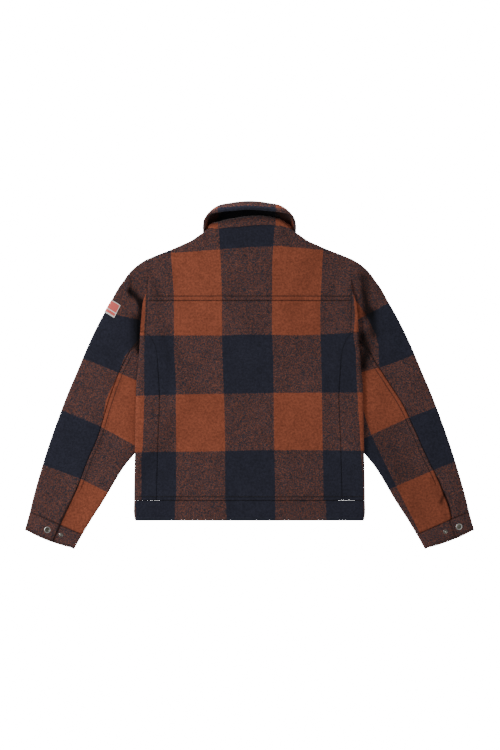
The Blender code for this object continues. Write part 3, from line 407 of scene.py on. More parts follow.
# How far a seam's lower side runs on under the upper one, in points, and how deep in millimetres
SEAM_UNDER = 0.5
SEAM_TUCKED = 1.6

# How far the yoke runs on under the collar stand, in points
NECK_UNDER = 1.4

# Steps down a cuff, in millimetres, and how many columns its two lapped ends have
CUFF_STEPS = (
    0, 0.35, 0.9, 1.6, 2.4, 3.1, 3.6, 4.1, 5.0, 6.5, 9, 12, 15, 18, 21, 24, 27, 29.5,
    31.2, 32.2, 32.8, 33.4, 34.2, 35.2, 36.2, CUFF_TALL,
)
CUFF_STITCH_ROW = 20
CUFF_UNDER_COLUMNS = 36
CUFF_OVER_COLUMNS = 31
CUFF_LAP_COLUMN = 5
SLEEVE_LOW = SEWN + (6.4, 7.5, 8.1, SLEEVE_STITCH, 9.1, 9.7, 10.8, 12.4)

# Check lines on the sleeves, in picture points: columns as (down, across), rows as (across, down)
LEFT_EDGE = (
    (285, 152.0), (330, 150.0), (338, 139.6), (344, 134.8), (357, 124.3), (372.5, 119.0), (400, 106.0),
    (430, 101.5), (480, 86.0), (530, 62.0),
)

LEFT_SEAM = (
    (285, 140.0), (330, 138.0), (346, 126.0), (372, 113.0), (400, 103.5),
    (430, 95.0), (480, 72.0), (530, 45.0),
)

LEFT_ROWS = (
    ((150, 210.0), (180, 217.0)),
    ((128, 246.0), (160, 254.0)),
    ((104.5, 312.0), (139, 320.0)),
    ((83, 358.0), (119.4, 373.0), (135.7, 380.0)),
    ((62.6, 410.4), (99.9, 426.0), (134.3, 445.0)),
    ((44.2, 465.0), (79.2, 478.0), (108.5, 492.5)),
    ((27, 521.0), (62, 534.0), (92, 548.0)),
    ((10, 575.0), (45, 588.0), (75, 602.0)),
)

RIGHT_EDGE = (
    (285, 340.0), (298, 352.0), (304, 358.0), (314.4, 365.5), (325, 371.0), (335, 375.7),
    (346, 378.3), (367.6, 378.9),
    (380, 386.3), (399, 399.3), (416.7, 408.2), (468.4, 431.1), (480, 435.8), (530, 455.0),
)

RIGHT_SEAM = (
    (285, 361.0), (330, 363.0), (346, 373.0), (372, 388.0), (400, 402.0),
    (430, 420.0), (480, 441.0), (530, 462.0),
)

RIGHT_INNER = ((285, 340.0), (372, 352.0), (420, 366.0), (436, 371.6), (486, 396.0), (531.5, 419.0))

RIGHT_ROWS = (
    ((320, 217.0), (349, 210.0)),
    ((338, 254.0), (371, 244.0)),
    ((366.5, 315.0), (388, 303.3), (400, 298.0)),
    ((362.4, 371.6), (382.9, 366.5), (400, 360.4), (418, 353.0)),
    ((371, 435.0), (407.7, 418.0), (436.4, 407.0)),
    ((396.3, 486.0), (433, 470.0), (454.8, 461.5)),
    ((407, 545.0), (437, 532.0), (472, 517.0)),
    ((424, 600.0), (454, 587.0), (489, 574.0)),
)

# Darker and paler metal inside these radii of a snap, in millimetres
CAP_SHADES = ((5.0, "dark"),)
STUD_SHADES = ((3.9, "dark"), (1.2, "pale"))

# Threads at the sleeve openings, in picture points
FLAP_THREADS = {
    -1: (
        ("bar", ((74.2, 483.2), (78.6, 485.0))),
        ("line", ((68.8, 490.0), (62.5, 505.6), (57.9, 519.4))),
    ),
    1: (
        ("bar", ((436.3, 475.7), (438.6, 473.2))),
        ("line", ((444.0, 482.0), (450.5, 498.0), (454.0, 514.0))),
    ),
}

# Turned snaps: radius and height, in millimetres
CAP_PROFILE = (
    (6.6, 0.0), (7.0, 0.2), (7.2, 0.5), (7.2, 0.9), (7.05, 1.3), (6.6, 1.65), (6.0, 1.85),
    (5.3, 1.9), (4.7, 1.8), (4.2, 1.62), (3.6, 1.52), (2.4, 1.46), (1.0, 1.44),
)

STUD_PROFILE = (
    (4.5, 0.0), (4.6, 0.25), (4.5, 0.55), (4.1, 0.75), (3.2, 0.8), (2.6, 0.95), (2.35, 1.3),
    (2.3, 1.5), (2.1, 1.7), (1.6, 1.8), (0.8, 1.78), (0.4, 1.75),
)

FRONT_PROFILE = (
    (7.0, 0.0), (7.2, 0.2), (7.2, 0.7), (7.0, 1.1), (6.5, 1.4), (5.8, 1.57), (5.0, 1.6),
    (4.4, 1.5), (3.4, 1.42), (1.6, 1.38),
)

# Check lines on the collar and the cuffs, in picture points
COLLAR_TOP = 1000.0
COLLAR_COLUMNS = tuple(((0, x), (2000, x)) for x in (170.0, 217.6, 275.6, 325.0))
COLLAR_ROWS = tuple(((0, COLLAR_TOP + s), (500, COLLAR_TOP + s)) for s in (-44.0, 4.0, 22.0, 71.0))
CUFF_COLUMNS = tuple(((0, x), (2000, x)) for x in (-2000.0, -1000.0, 1500.0))
CUFF_ROWS = tuple(((0, y), (500, y)) for y in (-2000.0, -1000.0, 1500.0))

# The collar leaf's row of thread and the stand's depth, in millimetres
LEAF_STITCH = 4.0
LEAF_STITCHED = 104.0
STAND_DEEP = 13.0

# The wool's ragged check borders, mottle, yarn and colours
BORDER_RAGGED = 0.034
MOTTLE_SCALE = 240.0
MOTTLE_LOW = 0.74
MOTTLE_HIGH = 1.24
YARN_SCALE = 460.0
RUST_DARK = (0.186, 0.047, 0.025, 1.0)
RUST_LIGHT = (0.290, 0.079, 0.041, 1.0)
NAVY_DARK = (0.0110, 0.0123, 0.0195, 1.0)
NAVY_LIGHT = (0.0260, 0.0265, 0.0440, 1.0)
YARN_NAVY = (0.0280, 0.0260, 0.0340, 1.0)
YARN_RUST = (0.150, 0.054, 0.037, 1.0)
THREAD_DARK = (0.010, 0.009, 0.011, 1.0)
THREAD_LIGHT = (0.030, 0.024, 0.026, 1.0)

# The patch, its border and its bar, in metres
PATCH_LONG = 0.0295
PATCH_BORDER = 0.0016
PATCH_BAR = 0.0205
PATCH_BAR_HALF = 0.0011

# Floor, lamps and camera, in metres
FLOOR_HALF = 40.0
FLOOR_GLOW = 1.2
FLOOR_WHITE = 16.0
WORLD_LIGHT = 0.45

LAMPS = (
    ("lamp_left", (-1.9, 0.4, 1.7), 1.0, 42.0),
    ("lamp_right", (1.3, -0.9, 2.4), 1.6, 8.0),
)

PHOTO_TALL = 1.65
CAMERA_HIGH = 8.0
CAMERA_AIM = (0.0011, 0.0)

SIDES = ((-1, "left"), (1, "right"))
# Half of a seam's gap, in picture points
HALF_GAP = SEAM_GAP / 2 / MM_PER_POINT

# A span is where something starts and how far it reaches until it is full
# The hidden front seam and the fronts' neck, in picture points
SIDE_TOP = 333.0
SIDE_TALL = 168.0
FRONT_SEAM_OUT = 89.0
FRONT_SEAM_FLARE = 13.7
FRONT_NECK_DOWN = 230.6
FRONT_NECK_ROUND = 0.8
SHOULDER_SPAN = (40.5, 6.0)

# Where the sleeves, the collar and the laps raise the body, in picture points
TUCK_REACH = 14.0
TUCK_WIDE = 30.0
TUCK_EARLY = 4.5
TUCK_SHIFT = 3.0
TUCK_TURN = (360.0, 20.0)
COLLAR_HALF = 47.0
COLLAR_FROM = 231.0
COLLAR_TALL = 62.0
COLLAR_EDGE = 1.5
COLLAR_REACH = 0.34
COLLAR_EDGE_BACK = 1.75
COLLAR_REACH_BACK = 0.6
LAP_ALONG = (277.0, 11.0)
LAP_ACROSS = (84.0, 15.0)
LAP_END = (340.0, 30.0)
SIDE_SWELL = (336.0, 12.0)

# The back's crown, its neck and the closing: heights and fades in millimetres
BACK_CROWN = WALL + 2.8
CROWN_FADE = (60.0, 120.0)
NECK_RISE = 3.4
CLOSING_LIFT = WALL + 0.5
CLOSING_FADE = (25.0, 34.0)
SNAP_FADE = (12.0, 24.0)
# The neck's fades, in picture points
NECK_FADE_DOWN = (236.0, 50.0)
NECK_FADE_OUT = (28.0, 18.0)

# Relief beside a seam and its row of thread, in millimetres
SEAM_DEEP = 1.5
SEAM_HALF = 1.2
SEAM_PUCKER = 0.5
PUCKER_FADE = 9.0
ALLOWANCE_HIGH = 0.75
ALLOWANCE_START = 1.5
ALLOWANCE_END = (1.5, 2.5)
STITCH_DEEP = 1.15
STITCH_HALF = 0.95
STITCH_PUCKER = 0.45
STITCH_SHIFT = 13.0
STITCH_FADE = 4.0

# Relief of the back: calm edges, the hem's edge, and spans in picture points
EDGE_CALM = 14.0
EDGE_KEEP = 0.3
EDGE_DEEP = 0.9
EDGE_HALF = 1.3
EDGE_PUCKER = 0.3
EDGE_FADE = 6.0
HEM_SHIFT = 7.0
PANEL_TOP = 334.0
YOKE_SEAM_END = (99.6, 1.6)
SEAM_TOP_SPAN = (332.0, 5.0)
SEAM_FULL_SPAN = (350.0, 20.0)
SEAM_FAINT = 0.35

# Relief of the sleeves: heights in millimetres, spans in sections
WAVE_SHIFT = 7
FOLD_CALM = 16.0
FOLD_KEEP = 0.25
STATION_LONG = 40.0
CUFF_STATION_LONG = 36.0
SEAM_START = 1.5
STITCH_END = (8.9, 0.3)
# The sleeve opening's flap starts at this section, and stands over the under sleeve
FLAP_SPAN = (9.25, 0.35)
FLAP_DROP = 1.5
FLAP_DROP_FADE = 9.0
FLAP_RISE = 1.1
FLAP_RISE_FADE = 10.0
SLEEVE_DIP = 0.05
CUFF_DIP = (CUFF_AT, 0.012)
CUFF_SEAM_DEEP = 1.3
CUFF_SEAM_HALF = 1.6
CUFF_PUCKER_FADE = 7.0

# Painted shade of the cloth, below 0 a painted highlight: heights in millimetres, and the least and most
# darkening
PAINTED_SHADE_SPAN = (0.8, 2.0)
PAINTED_SHADE_LIMITS = (-0.6, 0.88)
SEAM_LINE_POINTS = 40
SEAM_SHOWN = (1.2, 9.3)
STITCH_SHOWN = (3.2, 8.9)

# Threads, in millimetres
STITCH_LIFT = 0.12
THREAD_SHARP = 60
LINE_STEPS = 24
NEAR_PLACES = 5
NEAR_SOFT = 0.05
TACK_THREADS = 13
TACK_RADIUS = 0.5
TACK_LIFT = 0.3

# Grids of the body: widths and heights in millimetres, corners in picture points
FOLD_ROWS = 8
YOKE_WIDE = 448
YOKE_TALL = 120
PANEL_WIDE = 470
PANEL_ROWS_DOWN = (334.1, 331.9, 331.6)
PANEL_CORNER_DOWNS = (331.6, 331.9, 333.95)
PANEL_CORNER_OUTS = (109.2, CORNER_OUT, 101.0)
PANEL_EASE = 0.25
PANEL_EASE_DOWN = 333.6
PANEL_EASE_HALF = 1.5
SIDE_PANEL_TALL = 368
SIDE_PANEL_WIDE = 40
SIDE_TOP_ROWS = (0, 0.6, 1.4)
SIDE_HIGHEST = 334.1
SIDE_FRONT_ROWS = 7
SIDE_FOLD_STEPS = 14
FRONT_SIDE_OUT = 101.9
FRONT_SIDE_SPAN = (259.0, 74.0)
FRONT_SIDE_END = 333.4
FRONT_SIDE_MOST = 102.7
FRONT_END_SPAN = (-1.0, 1.2)
FRONT_GRID = (61, 131)
HEM_TALL = 44
HEM_END_ROWS = (0, 0.5, 1.1, 1.8, 2.8, 4.0)
HEM_FRONT_OUT = 103
HEM_FRONT_COLUMNS = 44
HEM_FOLD_STEPS = 16
HEM_BACK_COLUMNS = int(230 / STEP * MM_PER_POINT)
HEM_ROWS = (((80, 480.0), (420, 480.0)), ((80, 560.0), (420, 560.0)))

# Grids of the sleeves and cuffs
FOLD_ANGLES = np.radians(np.linspace(90, -90, 15))
SLEEVE_STARTS = (0.012, 0.03, 0.06)
SLEEVE_ENDS = (
    10.8, 10.85, 10.88, 10.91, 10.935, 10.955, 10.972, 10.985, 10.995, 11.005, CUFF_AT + 0.03,
)
SLIT_AT = 9.9
SLIT_HALF = 0.55
UPPER_WIDE = 100
UNDER_WIDE = 90
UPPER_LOW_ROWS = 24
UNDER_LOW_ROWS = 8
SQUEEZE_SPARE = 8.0
CUFF_TUCK = 0.02
CUFF_UNDER_TO = 0.86
CUFF_LOW_COLUMNS = 30
# The most painted shade on a cuff
CUFF_PAINTED_SHADE_MOST = 0.85

# Grooves on a cuff at its seam, its end and its row of thread: depth and half width; then the painted shade
# in them: share and half width
CUFF_GROOVES = ((1.2, 1.2), (1.1, 1.3), (0.9, 0.9))
CUFF_PAINTED_SHADE = ((0.5, 1.3), (0.35, 1.2), (0.45, 0.9))
# Grooves at its lapped edge and that edge's row of thread: depth and half width; then the painted shade in
# them
LAP_GROOVES = ((0.9, 1.3), (0.6, 1.0))
LAP_PAINTED_SHADE = ((0.55, 1.2), (0.3, 0.9))
# Painted shadow on the under end beside the lap: share, and its fade in millimetres
UNDER_PAINTED_SHADOW = (0.45, 2.6)
# Lumps of the cuff's cloth, in millimetres, and their rates along it
CUFF_CROWN = 0.6
LUMP_HIGH = 0.4
LUMP_RATE = 21.0
LUMP_LONG = 9.0
GATHER_RATE = 160
GATHER_SHIFT = 9
GATHER_FADE = 6.0
# Shares across a cuff: where lumps start under the lap, its lower side, the lap's last columns
LUMP_START = 0.05
CUFF_LOW_SHARES = (0.9, 0.1)
LAP_LAST = (0.02, 0.012, 0.006)

# Snaps, in millimetres
SNAP_SEAT = 0.5
SNAP_CLEAR = 0.04
FRONT_CAP_SEAT = 0.2
METAL_SHARP = 35

# Collar leaf's painted shade and painted highlight: spans in millimetres along it and down from its edge;
# then the painted shade on its inner face
LEAF_BACK_SPAN = (96.0, 30.0)
LEAF_HIGHLIGHT_FROM = (2.0, 2.0)
LEAF_HIGHLIGHT_TO = (10.0, 4.0)
LEAF_PAINTED_SHADE_SPAN = (40.0, 6.0)
LEAF_INSIDE_PAINTED_SHADE = 0.93


def lines_share(lines, along, across):
    """How far a place lies from one line of a table to the next, counted in lines."""
    at = []
    for line in lines:
        p = np.array(line, float)
        first = (p[1, 1] - p[0, 1]) / (p[1, 0] - p[0, 0])
        last = (p[-1, 1] - p[-2, 1]) / (p[-1, 0] - p[-2, 0])
        y = np.interp(along, p[:, 0], p[:, 1])
        y = y + first * np.minimum(along - p[0, 0], 0) + last * np.maximum(along - p[-1, 0], 0)
        at.append(y)
    out = (across - at[0]) / (at[1] - at[0])
    for k in range(1, len(at) - 1):
        share = k + (across - at[k]) / (at[k + 1] - at[k])
        out = np.where(across > at[k], share, out)
    return out


def curve(rows, at, column=1):
    """Smooth curve through a table's rows, read at the values of its first column."""
    xs = np.array([r[0] for r in rows], float)
    ys = np.array([r[column] for r in rows], float)
    slope = np.gradient(ys, xs)
    at = np.clip(np.asarray(at, float), xs[0], xs[-1])
    k = np.clip(np.searchsorted(xs, at, side="right") - 1, 0, len(xs) - 2)
    span = xs[k + 1] - xs[k]
    s = (at - xs[k]) / span
    a = (1 + 2 * s) * (1 - s) ** 2
    b = s * (1 - s) ** 2
    c = s * s * (3 - 2 * s)
    d = s * s * (s - 1)
    return a * ys[k] + b * span * slope[k] + c * ys[k + 1] + d * span * slope[k + 1]


def front_seam(down):
    """The hidden seam between a side panel and a front, out from the middle."""
    share = np.clip((down - SIDE_TOP) / SIDE_TALL, 0, 1)
    return FRONT_SEAM_OUT + FRONT_SEAM_FLARE * (1 - share) ** 2


def straight(rows, at, column=1):
    """Straight lines through a table's rows."""
    return np.interp(at, [r[0] for r in rows], [r[column] for r in rows])


def ease(s):
    s = np.clip(s, 0.0, 1.0)
    return s * s * (3 - 2 * s)


def rise(value, span):
    """0 up to a span's start and 1 beyond its reach; a span is a start and a reach."""
    return ease((value - span[0]) / span[1])


def bell(distance, half):
    """1 on a line, falling off softly to both sides of it."""
    return np.exp(-((distance / half) ** 2))


def swell(distance):
    """A fold's soft swelling beside its edge, 0 at the edge and 1 at its highest."""
    q = np.maximum(distance, 0.0) / SWELL_REACH
    return q * np.exp(1 - q)


def top_edge(across):
    """The body's upper outline, in picture points down, at a signed place across."""
    out = np.abs(across)
    neck = curve(NECK_SEAM, across)
    shoulder = curve(SHOULDER, out)
    return np.where(out < NECK_HALF, neck, shoulder)


def front_top(across):
    """A front's upper outline, lower at the neck than the back's."""
    out = np.abs(across)
    dip = np.clip(1 - (out / NECK_HALF) ** 2, 0, 1) ** FRONT_NECK_ROUND
    return np.where(out < NECK_HALF, FRONT_NECK_DOWN + NECK_DROP * dip, curve(SHOULDER, out))


def folded(across):
    """1 along the shoulders, 0 along the neck."""
    return rise(np.abs(across), SHOULDER_SPAN)


def tuck(across, down, reach=TUCK_REACH):
    """How far the body is raised by the sleeve that is tucked under it, from 0 to 1."""
    edge = straight(TUCK_EDGE, down) - TUCK_EARLY
    return ease((np.abs(across) - (edge - reach)) / reach)


def collar_under(across, down, edge=COLLAR_EDGE, reach=COLLAR_REACH):
    """How far the fronts are raised by the collar leaf folded under them."""
    far_down = np.maximum(down - COLLAR_FROM, 0) / COLLAR_TALL
    far = np.sqrt((across / COLLAR_HALF) ** 2 + far_down ** 2)
    return ease((edge - far) / reach)


def shoulder_gap(across, down):
    """Distance in from the shoulder line or the neck, in millimetres."""
    return np.maximum(down - top_edge(across), 0) * MM_PER_POINT


def side_gap(across, down):
    return np.maximum(curve(BODY_SIDE, down) - np.abs(across), 0) * MM_PER_POINT


def underside(across, down):
    """Height of the face that lies on the table, without the closing."""
    return TUCK_LIFT * tuck(across, down) + LEAF_LIFT * collar_under(across, down)


def lap(across, down):
    """The back's edge rises over the sleeve below the shoulder."""
    return rise(down, LAP_ALONG) * rise(np.abs(across), LAP_ACROSS)


def back_top(across, down):
    """Height of the back's outer face."""
    x = np.abs(across) * MM_PER_POINT
    low = TUCK_LIFT * tuck(across, down + TUCK_SHIFT * (1 - rise(down, TUCK_TURN)), TUCK_WIDE)
    low = np.maximum(low, LAP_LIFT * lap(across, down) * (1 - rise(down, LAP_END)))
    low = low + LEAF_LIFT * collar_under(across, down, COLLAR_EDGE_BACK, COLLAR_REACH_BACK)
    middle = BACK_CROWN * (1 - rise(x, CROWN_FADE))
    sides = swell(side_gap(across, down)) * rise(down, SIDE_SWELL)
    swollen = FOLD_SWELL * (swell(shoulder_gap(across, down)) * folded(across) + sides)
    neck = NECK_RISE * (1 - rise(down, NECK_FADE_DOWN)) * (1 - rise(np.abs(across), NECK_FADE_OUT))
    return low + 2 * WALL + LAYER_GAP + middle + swollen + neck + body_relief(across, down)


def front_low(across, down, right):
    """Height of a front's outer face, which looks down."""
    x = across * MM_PER_POINT
    low = underside(across, down)
    snaps = SNAP_LIFT * (1 - rise(np.abs(x), SNAP_FADE))
    over = CLOSING_LIFT * (1 - rise(x, CLOSING_FADE)) if right else 0.0
    return low + snaps + over


def place(across, down, height):
    """Picture points and millimetres to an array of places in millimetres."""
    x = across * MM_PER_POINT
    y = (BASE_POINT - down) * MM_PER_POINT
    return np.stack(np.broadcast_arrays(x, y, height), axis=-1).astype(float)


def crease_height(creases, x, y):
    """Soft troughs and ridges laid along lines, fading at their ends."""
    total = np.zeros_like(x)
    for points, half, height in creases:
        p = np.array(points, float)
        best = np.full(x.shape, 1e9)
        for a, b in zip(p[:-1], p[1:]):
            way = b - a
            share = ((x - a[0]) * way[0] + (y - a[1]) * way[1]) / (way @ way)
            share = np.clip(share, 0, 1)
            gap = np.hypot(x - a[0] - share * way[0], y - a[1] - share * way[1])
            best = np.minimum(best, gap)
        total = total + height * np.exp(-((best / half) ** 2))
    return total


def waves(x, y):
    total = np.zeros_like(x)
    for length, slant, height, start in WAVES:
        phase = (x * math.cos(slant) + y * math.sin(slant)) * 2 * math.pi / length
        bend = 0.9 * np.sin((x * math.sin(slant) - y * math.cos(slant)) * 2 * math.pi / (1.7 * length))
        total = total + height * np.sin(phase + start + bend)
    return total


def puckers(along):
    """Uneven small gathers along a sewn line; along is in millimetres."""
    total = np.zeros_like(along)
    for length, height, start in PUCKERS:
        total = total + height * np.sin(along * 2 * math.pi / length + start + 1.3 * np.sin(along / 41.0))
    return total


def seam_height(gap, along, stitch=None):
    """Height beside a seam at a distance in millimetres; a stitch pulls the cloth down
    on the side where the seam's allowance is pressed, which is the side with gap above 0."""
    near = np.abs(gap)
    high = -SEAM_DEEP * bell(near, SEAM_HALF) + SEAM_PUCKER * puckers(along) * np.exp(-near / PUCKER_FADE)
    if stitch is not None:
        over = ease(gap / ALLOWANCE_START) * (1 - rise(gap - stitch, ALLOWANCE_END))
        high = high + ALLOWANCE_HIGH * over
        high = high - STITCH_DEEP * bell(gap - stitch, STITCH_HALF)
        high = high + STITCH_PUCKER * puckers(along + STITCH_SHIFT) * bell(gap - stitch, STITCH_FADE)
    return high


def body_relief(across, down):
    """Seams, creases and slow waves of the jacket's back."""
    across = np.asarray(across, float)
    down = np.asarray(down, float)
    x = across + MIDDLE_POINT
    along = across * MM_PER_POINT
    high = crease_height(BODY_CREASES, x, down) + waves(x, down)
    high = high * ease(shoulder_gap(across, down) / EDGE_CALM)
    high = high * ease(side_gap(across, down) / EDGE_CALM + EDGE_KEEP)
    within = 1 - rise(np.abs(across), YOKE_SEAM_END)
    high = high + seam_height((YOKE_SEAM - down) * MM_PER_POINT, along, YOKE_STITCH) * within
    high = high + seam_height((HEM_SEAM - down) * MM_PER_POINT, along + HEM_SHIFT, HEM_STITCH)
    seam = (np.abs(across) - curve(BACK_SEAM, np.maximum(down, PANEL_TOP))) * MM_PER_POINT
    faint = rise(down, SEAM_TOP_SPAN) * (SEAM_FAINT + (1 - SEAM_FAINT) * rise(down, SEAM_FULL_SPAN))
    high = high + seam_height(seam, down * MM_PER_POINT) * faint
    groove = crease_height(ARMHOLE_GROOVES, x, down)
    end = (HEM_END - down) * MM_PER_POINT
    high = high - EDGE_DEEP * bell(end, EDGE_HALF) + EDGE_PUCKER * puckers(along) * np.exp(-end / EDGE_FADE)
    return high + groove


def sleeve_relief(at, near, side):
    """Seams, creases and waves of a sleeve's upper face, near the outer fold by near."""
    at = np.asarray(at, float)
    outer, inner, back, _, _ = sleeve_section(at, side)
    width = np.linalg.norm(inner - outer, axis=-1)
    spot = outer + (inner - outer) * (near / width)[..., None]
    x, y = picture(spot, side)
    high = crease_height(SLEEVE_CREASES[side], x, y) + waves(x + WAVE_SHIFT * side, y)
    ends = ease(near / FOLD_CALM) * ease((width - near) / FOLD_CALM)
    high = high * (FOLD_KEEP + (1 - FOLD_KEEP) * ends)
    gap = near - back * width
    along = at * STATION_LONG
    late = rise(at, STITCH_END)
    seam = seam_height(gap, along, SLEEVE_STITCH) * (1 - late) + seam_height(gap, along) * late
    high = high + seam * ease(at / SEAM_START)
    below = -FLAP_DROP * np.exp(-gap / FLAP_DROP_FADE)
    above = FLAP_RISE * np.exp(np.minimum(gap, 0) / FLAP_RISE_FADE)
    high = high + rise(at, FLAP_SPAN) * np.where(gap > 0, below, above)
    high = high - TUCKED * (1 - ease(at / SLEEVE_DIP)) - TUCKED * rise(at, CUFF_DIP)
    cuff = (CUFF_AT - at) * CUFF_STATION_LONG
    high = high - CUFF_SEAM_DEEP * bell(cuff, CUFF_SEAM_HALF)
    return high + SEAM_PUCKER * puckers(near) * np.exp(-np.abs(cuff) / CUFF_PUCKER_FADE)


def sleeve_section(at, side=-1):
    """Outer and inner fold places in millimetres, seam shares and inner swell at a station."""
    rows = [(k,) + row for k, row in enumerate(SLEEVE)]
    if side > 0:
        rows = [row[:5] + (share,) + row[6:] for row, share in zip(rows, RIGHT_BACK)]
    v = [curve(rows, at, c) for c in range(1, 8)]
    outer = np.stack([(v[0] - MIDDLE_POINT) * MM_PER_POINT, (BASE_POINT - v[1]) * MM_PER_POINT], axis=-1)
    inner = np.stack([(v[2] - MIDDLE_POINT) * MM_PER_POINT, (BASE_POINT - v[3]) * MM_PER_POINT], axis=-1)
    bow = SHOULDER_BOW * np.sin(math.pi * np.clip(at, 0.0, 1.0) ** BOW_SKEW)
    outer = outer + bow[..., None] * np.array(BOW_WAY)
    return outer, inner, v[4], v[5], v[6]


def bowed(pair, stations, share):
    """A cuff's places moved down the sleeve, most at its end and midway between its folds."""
    near, far = sleeve_section(np.array(CUFF_AT)), sleeve_section(np.array(CUFF_END))
    way = far[0] + far[1] - near[0] - near[1]
    way /= np.linalg.norm(way)
    reach = CUFF_BOW * 4 * share * (1 - share) * (stations - CUFF_AT) / (CUFF_END - CUFF_AT)
    moved = []
    for places in pair:
        places = places.copy()
        places[..., :2] += reach[..., None] * way
        moved.append(places)
    return moved


def sleeve_height(near_outer, near_inner, inner_swell, plain=False):
    """Height of a sleeve's upper face at distances from its two folds."""
    if plain:
        return SLEEVE_STACK + 0 * near_outer
    return SLEEVE_STACK + FOLD_SWELL * (swell(near_outer) + inner_swell * swell(near_inner))


def fold_frame(at):
    """Section ends, the places one fold's reach inside them, and the ways in from the folds."""
    outer, inner, _, _, inner_swell = sleeve_section(at)
    step = 1e-3
    ahead, behind = sleeve_section(at + step), sleeve_section(at - step)
    span = inner - outer
    width = np.linalg.norm(span, axis=-1)
    unit = span / width[..., None]
    turn = ease(np.asarray(at) / 1.2)[..., None]
    ways = []
    for end, sign in ((0, 1.0), (1, -1.0)):
        path = ahead[end] - behind[end]
        square = np.stack([-path[..., 1], path[..., 0]], axis=-1) * sign
        square /= np.linalg.norm(square, axis=-1)[..., None]
        way = unit * sign * (1 - turn) + square * turn
        ways.append(way / np.linalg.norm(way, axis=-1)[..., None])
    return outer, inner, ways[0], ways[1], width, inner_swell


def sleeve_place(at, layer, near, from_outer, angle=None, offset=0.0, plain=False, raised=0.0, side=-1):
    """A place on a sleeve's wall, outside and inside, and the same place in the flat cloth.
    layer is 1 above and -1 below; near is the distance in millimetres from the fold that
    from_outer picks; angle rounds that fold instead. side is -1 for left and 1 for right."""
    wall = WALL
    outer, inner, way_out, way_in, width, inner_swell = fold_frame(at)
    reach = FOLD_REACH
    start, end = outer + way_out * reach, inner + way_in * reach

    def height(distance):
        a = distance if from_outer else width - distance
        b = width - distance if from_outer else distance
        return sleeve_height(a, b, inner_swell, plain)

    if angle is None:
        top = height(near)
        if layer > 0 and not plain:
            top = np.maximum(top + sleeve_relief(at, near if from_outer else width - near, side), LOWEST_TOP)
        z_out = top + offset + raised if layer > 0 else -offset + 0 * top
        z_in = np.maximum(top - wall, wall + 0.1) + raised if layer > 0 else wall + 0 * top
        share = ((near - reach) / (width - 2 * reach))[..., None]
        share = share if from_outer else 1 - share
        flat_out = flat_in = start + (end - start) * share
        base, way = (outer, way_out) if from_outer else (inner, way_in)
        cloth = flat_out if layer > 0 else base - way * (near + (math.pi - 2) * reach)[..., None]
    else:
        top = height(0 * width + reach)
        if not plain:
            top = top + sleeve_relief(at, 0 * width + reach if from_outer else width - reach, side)
            top = np.maximum(top, LOWEST_TOP)
        mid = half = top / 2
        d_out = reach - (reach + offset) * math.cos(angle)
        d_in = wall + (reach - wall) * (1 - math.cos(angle))
        z_out = mid + (half + offset) * math.sin(angle)
        z_in = mid + (half - wall) * math.sin(angle)
        base, way = (outer, way_out) if from_outer else (inner, way_in)
        flat_out = base + way * d_out
        flat_in = base + way * d_in
        cloth = base + way * reach * (1 - math.pi / 2 + angle)
    return (
        np.concatenate([flat_out, np.asarray(z_out + 0 * width)[..., None]], axis=-1),
        np.concatenate([flat_in, np.asarray(z_in + 0 * width)[..., None]], axis=-1),
        cloth,
    )


def mirrored(grid):
    flipped = grid.copy()
    flipped[..., 0] *= -1
    return flipped


def spline_row(points, counts):
    """A smooth line through points; counts gives the steps between each two."""
    p = np.asarray(points, float)
    steps = np.concatenate([[0], np.cumsum(np.linalg.norm(np.diff(p, axis=0), axis=1))])
    if isinstance(counts, int):
        counts = [counts] * (len(p) - 1)
    marks = np.concatenate([[0]] + [k + np.arange(1, n + 1) / n for k, n in enumerate(counts)])
    at = np.interp(marks, np.arange(len(p)), steps)
    return np.stack([curve(list(zip(steps, p[:, c])), at, 1) for c in range(3)], axis=-1)


def ladder(length, step, low=(0,), high=(0,)):
    """Grid steps over a length: fixed distances at both ends and even steps between them."""
    low, high = np.array(low, float), np.array(high, float)
    total = low[-1] + high[-1]
    count = max(int(round((length - total) / step)), 1)
    fixed = np.concatenate([low, np.full(count - 1, low[-1]), total - high[::-1]])
    share = np.concatenate([0 * low, np.arange(1, count) / count, 1 + 0 * high])
    return fixed, share, total


def patch(left, right, low, high, us, vs):
    """Places in a patch between two side curves and two end curves, in picture points."""
    fu, fv = np.meshgrid(us[0], vs[0], indexing="ij")
    su, sv = np.meshgrid(us[1], vs[1], indexing="ij")
    down = low(0 * fu) * (1 - sv) + high(0 * fu) * sv
    for _ in range(40):
        width = (right(down) - left(down)) * MM_PER_POINT
        across = left(down) + (fu + su * (width - us[2])) / MM_PER_POINT
        length = (low(across) - high(across)) * MM_PER_POINT
        goal = low(across) - (fv + sv * (length - vs[2])) / MM_PER_POINT
        down = 0.5 * down + 0.5 * goal
    return across, down


def plan(across, down):
    return np.stack([across * MM_PER_POINT, (BASE_POINT - down) * MM_PER_POINT], axis=-1)


